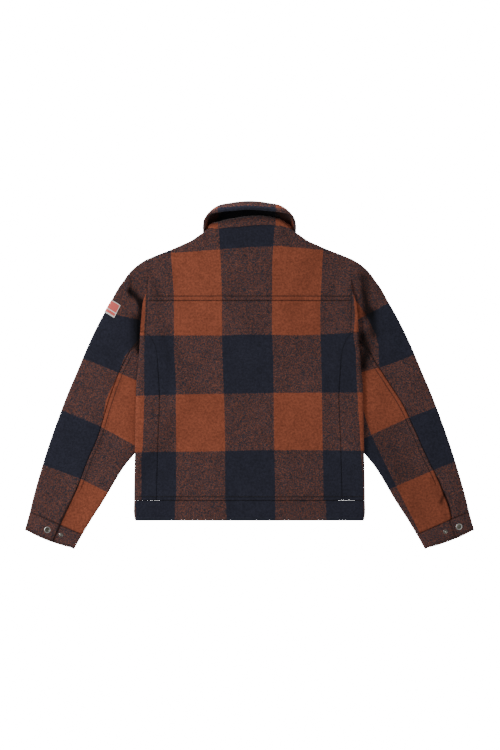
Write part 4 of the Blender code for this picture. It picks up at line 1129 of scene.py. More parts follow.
def flat_piece(left, right, low, high, us, vs, outer, inner, edge, fold_rows):
    """A piece whose upper end folds over at the shoulder line.
    outer and inner give heights, edge gives the fold's middle height."""
    reach = FOLD_REACH / MM_PER_POINT
    across, down = patch(left, right, low, lambda a: high(a) + reach, us, vs)
    outs = [place(across, down, outer(across, down))]
    ins = [place(across, down, inner(across, down))]
    cloth = [plan(across, down)]
    a, d = across[:, -1:], down[:, -1:]
    w = folded(a)
    top_out, top_in, mid = outer(a, d), inner(a, d), edge(a, d)
    wall = WALL / MM_PER_POINT
    for angle in np.radians(np.linspace(90, 0, fold_rows + 1))[1:]:
        rise = 1 - math.cos(angle)
        step = high(a) + reach * rise
        inside = high(a) + wall * w + (reach - wall * w) * rise
        flat = outer(a, step), inner(a, step)
        z_out = w * (mid + (top_out - mid) * math.sin(angle)) + (1 - w) * flat[0]
        z_in = w * (mid + (top_in - mid) * math.sin(angle)) + (1 - w) * flat[1]
        outs.append(place(a, step, z_out))
        ins.append(place(a, inside, z_in))
        cloth.append(plan(a, d - reach * (math.pi / 2 - angle)))
    return tuple(np.concatenate(part, axis=1) for part in (outs, ins, cloth))


def side_fold(edge, inward, top, low, wall, steps, rows):
    """Round a side fold, from the top layer to the bottom layer. All in millimetres."""
    outs, ins, cloth = [], [], []
    mid, half = (top + low) / 2, (top - low) / 2
    for angle in np.radians(np.linspace(90, -90, steps + 1)):
        near = FOLD_REACH * (1 - math.cos(angle))
        inner_near = wall + (FOLD_REACH - wall) * (1 - math.cos(angle))
        outs.append(np.stack([edge + inward * near, rows, mid + half * math.sin(angle)], axis=-1))
        z = mid + (half - wall) * math.sin(angle)
        ins.append(np.stack([edge + inward * inner_near, rows, z], axis=-1))
        out = FOLD_REACH * (1 - math.pi / 2 + angle)
        cloth.append(np.stack([edge + inward * out, rows], axis=-1))
    return outs, ins, cloth


def wrap_rows(side, downs, back_at, front_at, back_rows, front_rows, fold_steps, right):
    """Sections of the body that run from the back, round the side fold, to the front.
    downs is (rows, columns) of places down; side is -1 for left and 1 for right."""
    outs, ins, cloth = [], [], []
    reach = FOLD_REACH / MM_PER_POINT
    down0 = downs(None)
    for fixed, s in zip(back_rows[0], back_rows[1]):
        out = back_at(down0)
        for _ in range(3):
            down = downs(out)
            start, end = back_at(down), curve(BODY_SIDE, down) - reach
            out = start + (fixed + s * ((end - start) * MM_PER_POINT - back_rows[2])) / MM_PER_POINT
        z = back_top(side * out, down) - (SEAM_TUCKED if fixed == 0 else 0.0)
        outs.append(place(side * out, down, z))
        ins.append(place(side * out, down, z - WALL))
        cloth.append(plan(side * out, down))
    down = downs(curve(BODY_SIDE, down0))
    edge = curve(BODY_SIDE, down)
    inner = edge - reach
    top = back_top(side * inner, down)
    low = front_low(side * inner, down, right)
    x = side * edge * MM_PER_POINT
    y = (BASE_POINT - down) * MM_PER_POINT
    parts = side_fold(x, -side, top, low, WALL, fold_steps, y)
    outs += parts[0][1:]
    ins += parts[1][1:]
    cloth += parts[2][1:]
    for s in np.linspace(0, 1, front_rows + 1)[1:]:
        out = (edge - reach) * (1 - s) + front_at(down0) * s
        down = downs(out)
        edge_here = curve(BODY_SIDE, down)
        out = (edge_here - reach) * (1 - s) + front_at(down) * s
        z = front_low(side * out, down, right)
        outs.append(place(side * out, down, z))
        ins.append(place(side * out, down, z + WALL))
        beyond = edge_here + (edge_here - reach - out) + reach * (math.pi - 1)
        cloth.append(plan(side * beyond, down))
    return np.stack(outs), np.stack(ins), np.stack(cloth)


def with_painted_shade(cloth, outside, inside=0.0):
    """Flat places with the painted shade on the cloth's outer and its inner face."""
    layers = [cloth[..., 0], cloth[..., 1], outside, inside]
    return np.stack(np.broadcast_arrays(*layers), axis=-1).astype(float)


def picture(spot, side):
    """Places in millimetres on the left sleeve to picture points, mirrored on the right."""
    return MIDDLE_POINT - side * spot[..., 0] / MM_PER_POINT, BASE_POINT - spot[..., 1] / MM_PER_POINT


def upper_painted_shade(places, lines):
    """Painted shade of the upper face along lines given in picture points."""
    x, y = picture(places, -1)
    return rise(places[..., 2], PAINTED_SHADE_SPAN) * np.clip(crease_height(lines, x, y), *PAINTED_SHADE_LIMITS)


# The grids, with painted shade on their upper face
def add_painted_shade(grids, lines):
    return grids[0], grids[1], with_painted_shade(grids[2], upper_painted_shade(grids[0], lines))


def thin_out(count, every):
    marks = list(range(0, count, every))
    if marks[-1] != count - 1:
        marks.append(count - 1)
    return np.array(marks)


def rim(fine, coarse, marks):
    """Triangles between a fine line of points and the coarse line that shares its marks."""
    faces = []
    for k in range(len(marks) - 1):
        a, b = marks[k], marks[k + 1]
        mid = (a + b) // 2
        for i in range(a, b):
            faces.append((fine[i], fine[i + 1], coarse[k] if i < mid else coarse[k + 1]))
        faces.append((fine[mid], coarse[k + 1], coarse[k]))
    return faces


def shell(outer, inner, cloth, every=4):
    """A closed wall between a fine outer grid and a thinned-out inner grid."""
    n, m = outer.shape[:2]
    rows, cols = thin_out(n, every), thin_out(m, every)
    inside = inner[np.ix_(rows, cols)]
    points = np.concatenate([outer.reshape(-1, 3), inside.reshape(-1, 3)])
    if cloth.shape[-1] == 2:
        cloth = with_painted_shade(cloth, 0.0)
    thin = cloth[np.ix_(rows, cols)]
    flat = np.concatenate([cloth[..., :3].reshape(-1, 3), thin[..., [0, 1, 3]].reshape(-1, 3)])
    top = np.arange(n * m).reshape(n, m)
    low = np.arange(inside.shape[0] * inside.shape[1]).reshape(inside.shape[:2]) + n * m
    faces = []
    for grid, flip in ((top, False), (low, True)):
        quad = np.stack([grid[:-1, :-1], grid[1:, :-1], grid[1:, 1:], grid[:-1, 1:]], axis=-1).reshape(-1, 4)
        faces += (quad[:, ::-1] if flip else quad).tolist()
    for fine, coarse, marks in (
        (top[0], low[0], cols), (top[-1][::-1], low[-1][::-1], (m - 1 - cols)[::-1]),
        (top[::-1, 0], low[::-1, 0], (n - 1 - rows)[::-1]), (top[:, -1], low[:, -1], rows),
    ):
        faces += [[int(i) for i in face] for face in rim(fine, coarse, marks)]
    return points, faces, flat


def checked(flat, columns, rows):
    """Cloth places, in squares of the check, from places in the flat cloth."""
    x = MIDDLE_POINT + flat[:, 0] / MM_PER_POINT
    y = BASE_POINT - flat[:, 1] / MM_PER_POINT
    return np.stack([lines_share(columns, y, x), lines_share(rows, x, y)], axis=-1)


def make_piece(name, points, faces, material, squares=None, sharp=SHARP_DEGREES, hollow=None):
    """A closed piece in metres that rides on the jacket."""
    mesh = bpy.data.meshes.new(name)
    mesh.from_pydata(((points - ORIGIN) / METRE).tolist(), [], faces)
    mesh.validate()
    if volume(points, faces) < 0:
        mesh.flip_normals()
    corner = np.zeros(len(mesh.loops), dtype=np.int32)
    mesh.loops.foreach_get("vertex_index", corner)
    # The second map carries the painted shade
    if hollow is not None:
        hollow = np.stack([hollow, 0 * hollow], axis=-1)
    for layer_name, values in (("cloth", squares), ("hollow", hollow)):
        if values is not None:
            layer = mesh.uv_layers.new(name=layer_name)
            layer.data.foreach_set("uv", values[corner].astype(np.float32).ravel())
    mesh.materials.append(material)
    mesh.shade_smooth()
    mesh.set_sharp_from_angle(angle=math.radians(sharp))
    item = bpy.data.objects.new(name, mesh)
    bpy.context.scene.collection.objects.link(item)
    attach(item, "root")
    return item


def volume(points, faces):
    """A closed mesh's volume, below 0 where its faces look inward."""
    total = 0.0
    for size in (3, 4):
        some = np.array([face for face in faces if len(face) == size])
        if len(some):
            for k in range(1, size - 1):
                a, b, c = points[some[:, 0]], points[some[:, k]], points[some[:, k + 1]]
                total += (a * np.cross(b, c)).sum()
    return total / 6


def cloth_piece(name, grids, columns, rows, every=4):
    """A sewn piece of check wool that stands for the node of the same name."""
    points, faces, flat = shell(*grids, every=every)
    squares = checked(flat, columns, rows)
    item = make_piece(name + "_cloth", points, faces, WOOL, squares, hollow=flat[:, 2])
    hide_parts(name)
    return item


def lathe(centre, profile, sides=48):
    """A solid turned about +Z: profile gives radius and height from its base to its middle."""
    angles = np.linspace(0, 2 * math.pi, sides, endpoint=False)
    ring = np.stack([np.cos(angles), np.sin(angles), 0 * angles], axis=-1)
    points = [centre + ring * (r, r, 0) + (0, 0, h) for r, h in profile]
    points = np.concatenate(points + [[centre + (0, 0, profile[0][1])], [centre + (0, 0, profile[-1][1])]])
    faces = []
    last = len(profile) - 1
    for k in range(last):
        for s in range(sides):
            t = (s + 1) % sides
            faces.append([k * sides + s, k * sides + t, (k + 1) * sides + t, (k + 1) * sides + s])
    low, high = (last + 1) * sides, (last + 1) * sides + 1
    for s in range(sides):
        t = (s + 1) % sides
        faces.append([low, t, s])
        faces.append([high, last * sides + s, last * sides + t])
    return points, faces


def thread_piece(name, ends, radius=STITCH_RADIUS, lift=STITCH_LIFT):
    """Short threads, each from one place in millimetres to another."""
    points, faces = [], []
    around = np.linspace(0, 2 * math.pi, THREAD_SIDES, endpoint=False)
    for a, b in ends:
        way = (b - a) / np.linalg.norm(b - a)
        beside = np.cross((0.0, 0.0, 1.0), way)
        beside /= np.linalg.norm(beside)
        up = np.cross(way, beside)
        rings = []
        for share, size, bulge in THREAD_RINGS:
            centre = (a + b) / 2 + (b - a) * share + up * (lift + bulge * radius)
            rings.append(list(range(len(points), len(points) + THREAD_SIDES)))
            for angle in around:
                points.append(centre + radius * size * (math.cos(angle) * beside + math.sin(angle) * up))
        for low, high in zip(rings[:-1], rings[1:]):
            for k in range(THREAD_SIDES):
                n = (k + 1) % THREAD_SIDES
                faces.append([low[k], low[n], high[n], high[k]])
        faces += [rings[0][::-1], rings[-1]]
    item = make_piece(name, np.array(points), faces, THREAD, sharp=THREAD_SHARP)
    return item


def stitch_line(name, line, pitch=STITCH_PITCH):
    """A row of short threads laid along a line of places in millimetres."""
    steps = np.concatenate([[0], np.cumsum(np.linalg.norm(np.diff(line, axis=0), axis=1))])
    count = int(steps[-1] // pitch)
    shift = (steps[-1] - count * pitch) / 2

    def at(s):
        return np.stack([np.interp(s, steps, line[:, c]) for c in range(3)], axis=-1)

    middles = [shift + (k + 0.5) * pitch for k in range(count)]
    return thread_piece(name, [(at(m - STITCH_LONG / 2), at(m + STITCH_LONG / 2)) for m in middles])


def on_grid(grid, points, steps=LINE_STEPS):
    """A line through picture points, laid on the upper face of a grid of places."""
    p = np.array(points, float)
    share = np.linspace(0, len(p) - 1, steps)
    x = (np.interp(share, range(len(p)), p[:, 0]) - MIDDLE_POINT) * MM_PER_POINT
    y = (BASE_POINT - np.interp(share, range(len(p)), p[:, 1])) * MM_PER_POINT
    cloud = grid.reshape(-1, 3)
    cloud = cloud[cloud[:, 2] > SLEEVE_STACK / 2]
    line = []
    for a, b in zip(x, y):
        gap = (cloud[:, 0] - a) ** 2 + (cloud[:, 1] - b) ** 2
        near = np.argsort(gap)[:NEAR_PLACES]
        weight = 1 / (gap[near] + NEAR_SOFT)
        line.append((a, b, float((cloud[near, 2] * weight).sum() / weight.sum())))
    return np.array(line)


def bar_tack(name, grid, points):
    """A dense bar of thread: short threads side by side across a short line."""
    line = on_grid(grid, points, TACK_THREADS)
    way = line[-1] - line[0]
    beside = np.array((-way[1], way[0], 0.0)) / np.hypot(way[0], way[1]) * TACK_HALF
    return thread_piece(name, [(spot - beside, spot + beside) for spot in line], TACK_RADIUS, TACK_LIFT)


def sleeve_seam_line(side, first, last, away=0.0):
    """A line along a sleeve's back seam in picture points, away from it in millimetres."""
    at = np.linspace(first, last, SEAM_LINE_POINTS)
    outer, inner, back, _, _ = sleeve_section(at, side)
    width = np.linalg.norm(inner - outer, axis=-1)
    return tuple(zip(*picture(outer + (inner - outer) * (back + away / width)[..., None], side)))


def sleeve_seam_end(side):
    """The seam between a sleeve and its cuff, in picture points."""
    outer, inner, _, _, _ = sleeve_section(np.array(float(CUFF_AT)))
    return picture(outer, side), picture(inner, side)


def build_yoke():
    """The yoke, from its seam up over the shoulders, and its rows of thread."""
    gap = HALF_GAP

    def inner(a, d):
        return back_top(a, d) - WALL

    def edge(a, d):
        return (back_top(a, d) + front_low(a, d, False)) / 2 + SEAM_GAP / 2

    grids = flat_piece(
        lambda d: -curve(BODY_SIDE, d) + gap,
        lambda d: curve(BODY_SIDE, d) - gap,
        lambda a: YOKE_SEAM - gap + 0 * a,
        lambda a: top_edge(a) + gap - NECK_UNDER * (1 - folded(a)),
        ladder(YOKE_WIDE, STEP, ARMHOLE, ARMHOLE), ladder(YOKE_TALL, STEP, YOKE_LOW, (0,)),
        back_top, inner, edge, FOLD_ROWS,
    )
    cloth_piece("back_yoke", add_painted_shade(grids, BODY_PAINTED_SHADE), BODY_COLUMNS, BODY_ROWS)
    lines = [grids[0][:, YOKE_LOW.index(YOKE_STITCH)]]
    for points in ARMHOLE_LINES.values():
        p = np.array(points, float)
        across, down = p[:, 0] - MIDDLE_POINT, p[:, 1]
        steps = np.linspace(0, len(p) - 1, SEAM_LINE_POINTS)
        across, down = np.interp(steps, range(len(p)), across), np.interp(steps, range(len(p)), down)
        lines.append(place(across, down, back_top(across, down)))
    return lines


def panel_side(down):
    """The back panel's side edge, which steps in under the armhole to the side seam."""
    corner = np.interp(down, PANEL_CORNER_DOWNS, PANEL_CORNER_OUTS)
    side = np.where(down < PANEL_CORNER_DOWNS[-1], corner, curve(BACK_SEAM, np.maximum(down, PANEL_TOP)))
    edge = np.minimum(curve(BODY_SIDE, down), PANEL_CORNER_OUTS[0])
    side = np.where(down < PANEL_CORNER_DOWNS[0], edge, side)
    return side - PANEL_EASE * bell(down - PANEL_EASE_DOWN, PANEL_EASE_HALF)


def build_panel():
    """The back panel between the yoke, the hem band and the side panels."""
    gap = HALF_GAP
    total = (HEM_SEAM - YOKE_SEAM - 2 * gap) * MM_PER_POINT
    stops = (
        np.array(PANEL_LOW, float),
        (HEM_SEAM - gap - np.array(PANEL_ROWS_DOWN)) * MM_PER_POINT,
        total - np.array(SEWN[::-1], float),
    )
    rows = [stops[0]]
    for low, high in zip(stops[:-1], stops[1:]):
        count = int(round((high[0] - low[-1]) / STEP))
        rows.append(low[-1] + (high[0] - low[-1]) * np.arange(1, count) / count)
        rows.append(high)
    rows = np.concatenate(rows)
    across, down = patch(
        lambda d: -panel_side(d) + gap, lambda d: panel_side(d) - gap,
        lambda a: HEM_SEAM - gap + 0 * a, lambda a: YOKE_SEAM + gap + 0 * a,
        ladder(PANEL_WIDE, STEP, ARMHOLE, ARMHOLE), (rows, 0 * rows, total),
    )
    z = back_top(across, down)
    grids = (place(across, down, z), place(across, down, z - WALL), plan(across, down))
    cloth_piece("back_panel", add_painted_shade(grids, BODY_PAINTED_SHADE), BODY_COLUMNS, BODY_ROWS)
    return grids[0][:, PANEL_LOW.index(HEM_STITCH)]


def build_back():
    lines = build_yoke()
    lines.append(build_panel())
    for number, line in enumerate(lines, 1):
        stitch_line("back_stitches_" + str(number), line)


def build_sides():
    """Each side panel runs from the back seam round the side fold to the hidden front seam."""
    gap = HALF_GAP
    rows = ladder(SIDE_PANEL_TALL, STEP, SIDE_TOP_ROWS, PANEL_LOW)

    def downs(out):
        inward = 0 if out is None else np.maximum(CORNER_OUT - out, 0)
        top = CORNER_DOWN + gap + inward * CORNER_SLOPE
        top = np.minimum(top, SIDE_HIGHEST + gap)
        length = (HEM_SEAM - gap - top) * MM_PER_POINT
        return top + (rows[0] + rows[1] * (length - rows[2])) / MM_PER_POINT

    for side, name in SIDES:
        grids = wrap_rows(
            side, downs,
            lambda d: curve(BACK_SEAM, np.maximum(d, PANEL_TOP)) - SEAM_UNDER,
            lambda d: front_seam(d) + gap,
            ladder(SIDE_PANEL_WIDE, STEP, SEWN, (0,)), SIDE_FRONT_ROWS, SIDE_FOLD_STEPS, side > 0,
        )
        cloth_piece("side_panel_" + name, add_painted_shade(grids, BODY_PAINTED_SHADE), BODY_COLUMNS, BODY_ROWS)
        stitch_line("side_stitches_" + name, grids[0][:-SIDE_FRONT_ROWS, -1 - PANEL_LOW.index(HEM_STITCH)])


def build_fronts():
    """The two hidden fronts, from the shoulders down, lapped at the closing."""
    gap = HALF_GAP
    closing = CLOSING_HALF / MM_PER_POINT

    def side_line(down):
        hole = FRONT_SIDE_OUT + np.clip((down - FRONT_SIDE_SPAN[0]) / FRONT_SIDE_SPAN[1], 0, 1)
        return np.where(down < FRONT_SIDE_END, np.minimum(hole, FRONT_SIDE_MOST), front_seam(down))

    def edge(a, d):
        return (back_top(a, d) + front_low(a, d, False)) / 2 - SEAM_GAP / 2

    for side, name in SIDES:

        def outer(a, d, right=side > 0):
            return front_low(a, d, right) + SEAM_TUCKED * rise(d - HEM_SEAM, FRONT_END_SPAN)

        def inner(a, d, right=side > 0):
            return front_low(a, d, right) + WALL

        us, vs = [(0 * shares, shares, 0.0) for shares in (np.linspace(0, 1, n) for n in FRONT_GRID)]
        grids = flat_piece(
            lambda d, side=side: side * (side_line(d) - gap), lambda d, side=side: -side * closing + 0 * d,
            lambda a: HEM_SEAM + SEAM_UNDER + 0 * a, lambda a: front_top(a) + gap,
            us, vs, outer, inner, edge, FOLD_ROWS,
        )
        cloth_piece("front_" + name, grids, BODY_COLUMNS, BODY_ROWS)


def build_hem():
    """The hem band in one piece, from the closing round both sides and back to it."""
    gap = HALF_GAP
    fixed, share, total = ladder(HEM_TALL, STEP, SEWN, HEM_END_ROWS)
    length = (HEM_END - HEM_SEAM - gap) * MM_PER_POINT
    rows = HEM_SEAM + gap + (fixed + share * (length - total)) / MM_PER_POINT
    y = (BASE_POINT - rows) * MM_PER_POINT
    closing = CLOSING_HALF / MM_PER_POINT
    edge = curve(BODY_SIDE, rows)
    inside = edge - FOLD_REACH / MM_PER_POINT
    kept = [], [], []

    def add(across, top, wall, beyond):
        for part, new in zip(kept, (
            place(across, rows, top), place(across, rows, top + wall), plan(across + beyond, rows),
        )):
            part.append(new)

    def add_fold(side):
        top, low = back_top(side * inside, rows), front_low(side * inside, rows, side > 0)
        parts = side_fold(side * edge * MM_PER_POINT, -side, top, low, WALL, HEM_FOLD_STEPS, y)
        for part, new in zip(kept, parts):
            part.extend(new[::-1] if side < 0 else new)

    for out in np.linspace(closing, -HEM_FRONT_OUT, HEM_FRONT_COLUMNS):
        across = out + 0 * rows
        add(across, front_low(across, rows, False), WALL, -2 * (edge + across) - 2)
    add_fold(-1)
    for s in np.linspace(0, 1, HEM_BACK_COLUMNS)[1:-1]:
        across = -inside * (1 - s) + inside * s
        add(across, back_top(across, rows), -WALL, 0.0)
    add_fold(1)
    for out in np.linspace(HEM_FRONT_OUT, -closing, HEM_FRONT_COLUMNS):
        across = out + 0 * rows
        add(across, front_low(across, rows, True), WALL, 2 * (edge - across) + 2)
    grids = tuple(np.stack(part) for part in kept)
    cloth_piece("hem_band", add_painted_shade(grids, BODY_PAINTED_SHADE), HEM_COLUMNS, HEM_ROWS)


def sleeve_piece(from_outer, stations, side):
    """Upper or under sleeve: from the back seam round one fold to the front seam."""
    outer, inner, back, front, _ = sleeve_section(stations, side)
    width = np.linalg.norm(inner - outer, axis=-1)
    opened = OPEN_SLIT * MM_PER_POINT if side > 0 else 0.0
    slit = opened * bell(stations - SLIT_AT, SLIT_HALF)
    gap = SEAM_GAP / 2
    if from_outer:
        top_end, low_end = back * width - gap - slit, front * width - gap
        wide, near_seam, low_rows = UPPER_WIDE, SEWN, UPPER_LOW_ROWS
    else:
        top_end, low_end = (1 - back) * width - gap, (1 - front) * width - gap
        wide, near_seam, low_rows = UNDER_WIDE, SLEEVE_LOW, UNDER_LOW_ROWS
    parts = []
    fixed, share, total = ladder(wide, STEP, near_seam, (0,))
    squeeze = np.minimum(1.0, (top_end - FOLD_REACH) / (total + SQUEEZE_SPARE))
    for f, s in zip(fixed, share):
        near = top_end - f * squeeze - s * (top_end - FOLD_REACH - total * squeeze)
        parts.append(sleeve_place(stations, 1, near, from_outer, side=side))
    for angle in FOLD_ANGLES[1:]:
        parts.append(sleeve_place(stations, 0, None, from_outer, angle=angle, side=side))
    for s in np.linspace(0, 1, low_rows)[1:]:
        near = FOLD_REACH * (1 - s) + low_end * s
        parts.append(sleeve_place(stations, -1, near, from_outer, side=side))
    return tuple(np.stack([part[k] for part in parts]) for k in range(3))


def grooves(distances, table):
    """Soft grooves at some distances, each with its depth and half width."""
    return sum(deep * bell(far, half) for far, (deep, half) in zip(distances, table))


def cuff_piece(side):
    """A ring with its upper end lapped over its under end at the slit."""
    rows = np.array(CUFF_STEPS)
    stations = CUFF_AT + CUFF_TUCK + (CUFF_END - CUFF_AT - CUFF_TUCK) * rows / CUFF_TALL
    outer, inner, _, _, _ = sleeve_section(stations)
    width = np.linalg.norm(inner - outer, axis=-1)
    under, flat = CUFF_UNDER_FROM[side], CUFF_UNDER_FLAT[side]
    over, lifted, end = CUFF_OVER_FROM[side], CUFF_OVER_FLAT[side], CUFF_OVER_END[side]
    parts = []
    near_end = CUFF_TALL - rows
    sewn = rows, near_end, near_end - EDGE_STITCH
    press = CUFF_CROWN * np.sin(math.pi * rows / CUFF_TALL) - grooves(sewn, CUFF_GROOVES)
    # Painted shade in the cuff's seam, end and stitch grooves
    seam_painted_shade = grooves(sewn, CUFF_PAINTED_SHADE)

    def keep(share, hollow, layer, near, from_outer, **settings):
        spot = sleeve_place(stations, layer, near, from_outer, plain=True, side=side, **settings)
        places = bowed(spot[:2], stations, share)
        parts.append((places[0], places[1], with_painted_shade(spot[2], np.clip(hollow, 0.0, CUFF_PAINTED_SHADE_MOST))))

    def lumps(at):
        gathers = puckers(at * GATHER_RATE + GATHER_SHIFT) * np.exp(-near_end / GATHER_FADE)
        return press + LUMP_HIGH * (np.sin(at * LUMP_RATE + rows / LUMP_LONG) + gathers)

    for share in np.linspace(under, CUFF_UNDER_TO, CUFF_UNDER_COLUMNS):
        lower = -CUFF_SINK * (1 - ease((share - flat) / SINK_REACH))
        lower = lower + lumps(share) * ease((share - end) / LUMP_START)
        # Painted shadow on the under end beside the lapped edge
        dark = np.exp(-np.maximum(share - end, 0) * width / UNDER_PAINTED_SHADOW[1])
        hollow = seam_painted_shade + UNDER_PAINTED_SHADOW[0] * dark
        keep(share, hollow, 1, (1 - share) * width, False, raised=lower)
    for angle in FOLD_ANGLES:
        keep(FOLD_SHARE, seam_painted_shade * max(math.sin(angle), 0.0), 0, None, False, angle=angle)
    for share in np.linspace(*CUFF_LOW_SHARES, CUFF_LOW_COLUMNS):
        keep(share, 0 * rows, -1, share * width, True)
    for angle in FOLD_ANGLES[::-1]:
        keep(FOLD_SHARE, seam_painted_shade * max(math.sin(angle), 0.0), 0, None, True, angle=angle)
    columns = np.linspace(over, end - LAP_LAST[0], CUFF_OVER_COLUMNS)
    for share in np.append(columns, (end - LAP_LAST[1], end - LAP_LAST[2], end)):
        edge = (end - share) * width
        lift = CUFF_RISE * ease((share - over) / (lifted - over)) + lumps(share + 1)
        lift = lift - grooves((edge, edge - EDGE_STITCH), LAP_GROOVES)
        # Painted shade in the lapped edge's grooves
        hollow = seam_painted_shade + grooves((edge, edge - EDGE_STITCH), LAP_PAINTED_SHADE)
        keep(share, hollow, 1, share * width, True, raised=lift)
    return tuple(np.stack([part[k] for part in parts]) for k in range(3))


def patch_piece():
    """The small sewn patch round the outer fold of the left upper sleeve."""
    along = np.linspace(PATCH_FROM, PATCH_TO, 25)
    step = 1e-3
    tangent = (sleeve_section(along + step)[0] - sleeve_section(along - step)[0]) / (2 * step)
    speed = np.linalg.norm(tangent, axis=-1)
    outer, inner, way_out, way_in, _, _ = fold_frame(along)
    unit = inner + way_in * FOLD_REACH - outer - way_out * FOLD_REACH
    unit /= np.linalg.norm(unit, axis=-1)[..., None]
    lean = (unit * tangent / speed[..., None]).sum(axis=-1)
    outs, ins, cloth = [], [], []
    length = np.concatenate([[0], np.cumsum((speed[1:] + speed[:-1]) / 2 * np.diff(along))])

    def add(layer, near, angle, plan_near, depth):
        at = along - lean * np.maximum(plan_near - FOLD_REACH, 0) / speed
        high = sleeve_place(at, layer, near, True, angle=angle, offset=PATCH_WALL + PATCH_GAP)[0]
        low = sleeve_place(at, layer, near, True, angle=angle, offset=PATCH_GAP)[0]
        outs.append(high)
        ins.append(low)
        cloth.append(np.stack([length, depth + 0 * length], axis=-1))

    for near in np.linspace(FOLD_REACH + PATCH_DEEP, FOLD_REACH, 20)[:-1]:
        add(1, near + 0 * along, None, near, FOLD_REACH + PATCH_DEEP - near)
    for angle in np.radians(np.linspace(90, -50, 24)):
        depth = PATCH_DEEP + FOLD_REACH * (math.pi / 2 - angle)
        add(0, None, angle, FOLD_REACH * (1 - math.cos(angle)), depth)
    return np.stack(outs), np.stack(ins), np.stack(cloth)


def shifted(line, by):
    return tuple((down, across + by) for down, across in line)


def sleeve_columns(side, from_outer):
    """The lines between the check's columns on one sleeve piece, from left to right."""
    square = 54.0
    if side < 0:
        line = LEFT_EDGE if from_outer else LEFT_SEAM
        return tuple(shifted(line, by * square) for by in (-2, -1, 0, 1, 2))
    line = RIGHT_EDGE if from_outer else RIGHT_SEAM
    first = RIGHT_INNER
    return (
        shifted(first, -2 * square), shifted(first, -square), first,
        line, shifted(line, square), shifted(line, 2 * square),
    )


def build_sleeve(side, name, stations):
    """Both pieces of one sleeve with their rows of thread and the sleeve opening's tack."""
    rows = LEFT_ROWS if side < 0 else RIGHT_ROWS
    # Painted shade along the sleeve's folds, its seam, its row of thread and the cuff seam
    lines = SLEEVE_PAINTED_SHADE[side] + (
        (sleeve_seam_line(side, *SEAM_SHOWN), 0.55, 0.45),
        (sleeve_seam_line(side, *STITCH_SHOWN, SLEEVE_STITCH), 0.5, 0.35),
        (sleeve_seam_end(side), 0.6, 0.5),
    )
    tops = []
    for from_outer, piece in ((True, "sleeve_upper_"), (False, "sleeve_under_")):
        grids = mirrored_for(side, sleeve_piece(from_outer, stations, side))
        cloth_piece(piece + name, add_painted_shade(grids, lines), sleeve_columns(side, from_outer), rows)
        tops.append(grids[0])
    line = grids[0][SLEEVE_LOW.index(SLEEVE_STITCH)]
    keep = (stations > STITCH_SHOWN[0]) & (stations < STITCH_SHOWN[1])
    stitch_line("sleeve_stitches_" + name, line[keep])
    both = np.concatenate([grid.reshape(-1, 3) for grid in tops])
    for number, (kind, points) in enumerate(FLAP_THREADS[side], 1):
        label = "flap_thread_" + name + "_" + str(number)
        if kind == "bar":
            bar_tack(label, both, points)
        else:
            stitch_line(label, on_grid(both, points))


def build_cuff(side, name):
    """One cuff with its rows of thread, its snap cap and its stud."""
    grids = mirrored_for(side, cuff_piece(side))
    cloth_piece("cuff_" + name, grids, CUFF_COLUMNS, CUFF_ROWS)
    seen = (CUFF_OVER_END[side] - CUFF_UNDER_FROM[side]) / (CUFF_UNDER_TO - CUFF_UNDER_FROM[side])
    seen = int(math.ceil(seen * (CUFF_UNDER_COLUMNS - 1)))
    over = grids[0][-CUFF_OVER_COLUMNS - 3:]
    for number, line in enumerate((
        over[:1 - CUFF_LAP_COLUMN, CUFF_STITCH_ROW],
        grids[0][seen:CUFF_UNDER_COLUMNS - 1, CUFF_STITCH_ROW],
        over[-CUFF_LAP_COLUMN, 4:CUFF_STITCH_ROW],
    ), 1):
        stitch_line("cuff_stitches_" + name + "_" + str(number), line)
    for piece, spot, profile, lift, shades in (
        ("cuff_cap_", CUFF_CAP[side], CAP_PROFILE, CUFF_RISE + SNAP_SEAT, CAP_SHADES),
        ("cuff_stud_", CUFF_STUD[side], STUD_PROFILE, SNAP_SEAT, STUD_SHADES),
    ):
        x = (spot[0] - MIDDLE_POINT) * MM_PER_POINT
        y = (BASE_POINT - spot[1]) * MM_PER_POINT
        points, faces = lathe(np.array((x, y, SLEEVE_STACK + lift + SNAP_CLEAR)), profile)
        item = make_piece(piece + name + "_turned", points, faces, METAL, sharp=METAL_SHARP)
        shade_rings(item, (x, y), shades)
        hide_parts(piece + name)


def build_patch():
    """The small sewn patch on the left upper sleeve."""
    points, faces, flat = shell(*patch_piece(), every=4)
    item = make_piece("sleeve_patch_cloth", points, faces, PATCH, flat[:, :2] / METRE)
    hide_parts("sleeve_patch")


def mirrored_for(side, grids):
    """The same grids on the left, and mirrored ones on the right."""
    return tuple(mirrored(grid) for grid in grids) if side > 0 else grids


def build_sleeves():
    stations = np.concatenate([
        SLEEVE_STARTS, np.arange(0.1, 3.6, 0.055), np.arange(3.6, 9.0, 0.1),
        np.arange(9.0, 10.78, 0.045), SLEEVE_ENDS,
    ])
    for side, name in SIDES:
        build_sleeve(side, name, stations)
        build_cuff(side, name)
    build_patch()


def build_front_caps():
    """The closing's hidden snap caps, which look down."""
    for number, down in enumerate(FRONT_CAPS_DOWN, 1):
        y = (BASE_POINT - down) * MM_PER_POINT
        height = front_low(np.array(0.0), np.array(float(down)), False) - FRONT_CAP_SEAT
        points, faces = lathe(np.array((0.0, y, 0.0)), FRONT_PROFILE)
        points[:, 2] = height - points[:, 2]
        name = "front_cap_" + str(number)
        item = make_piece(name + "_turned", points, faces, METAL, sharp=METAL_SHARP)
        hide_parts(name)


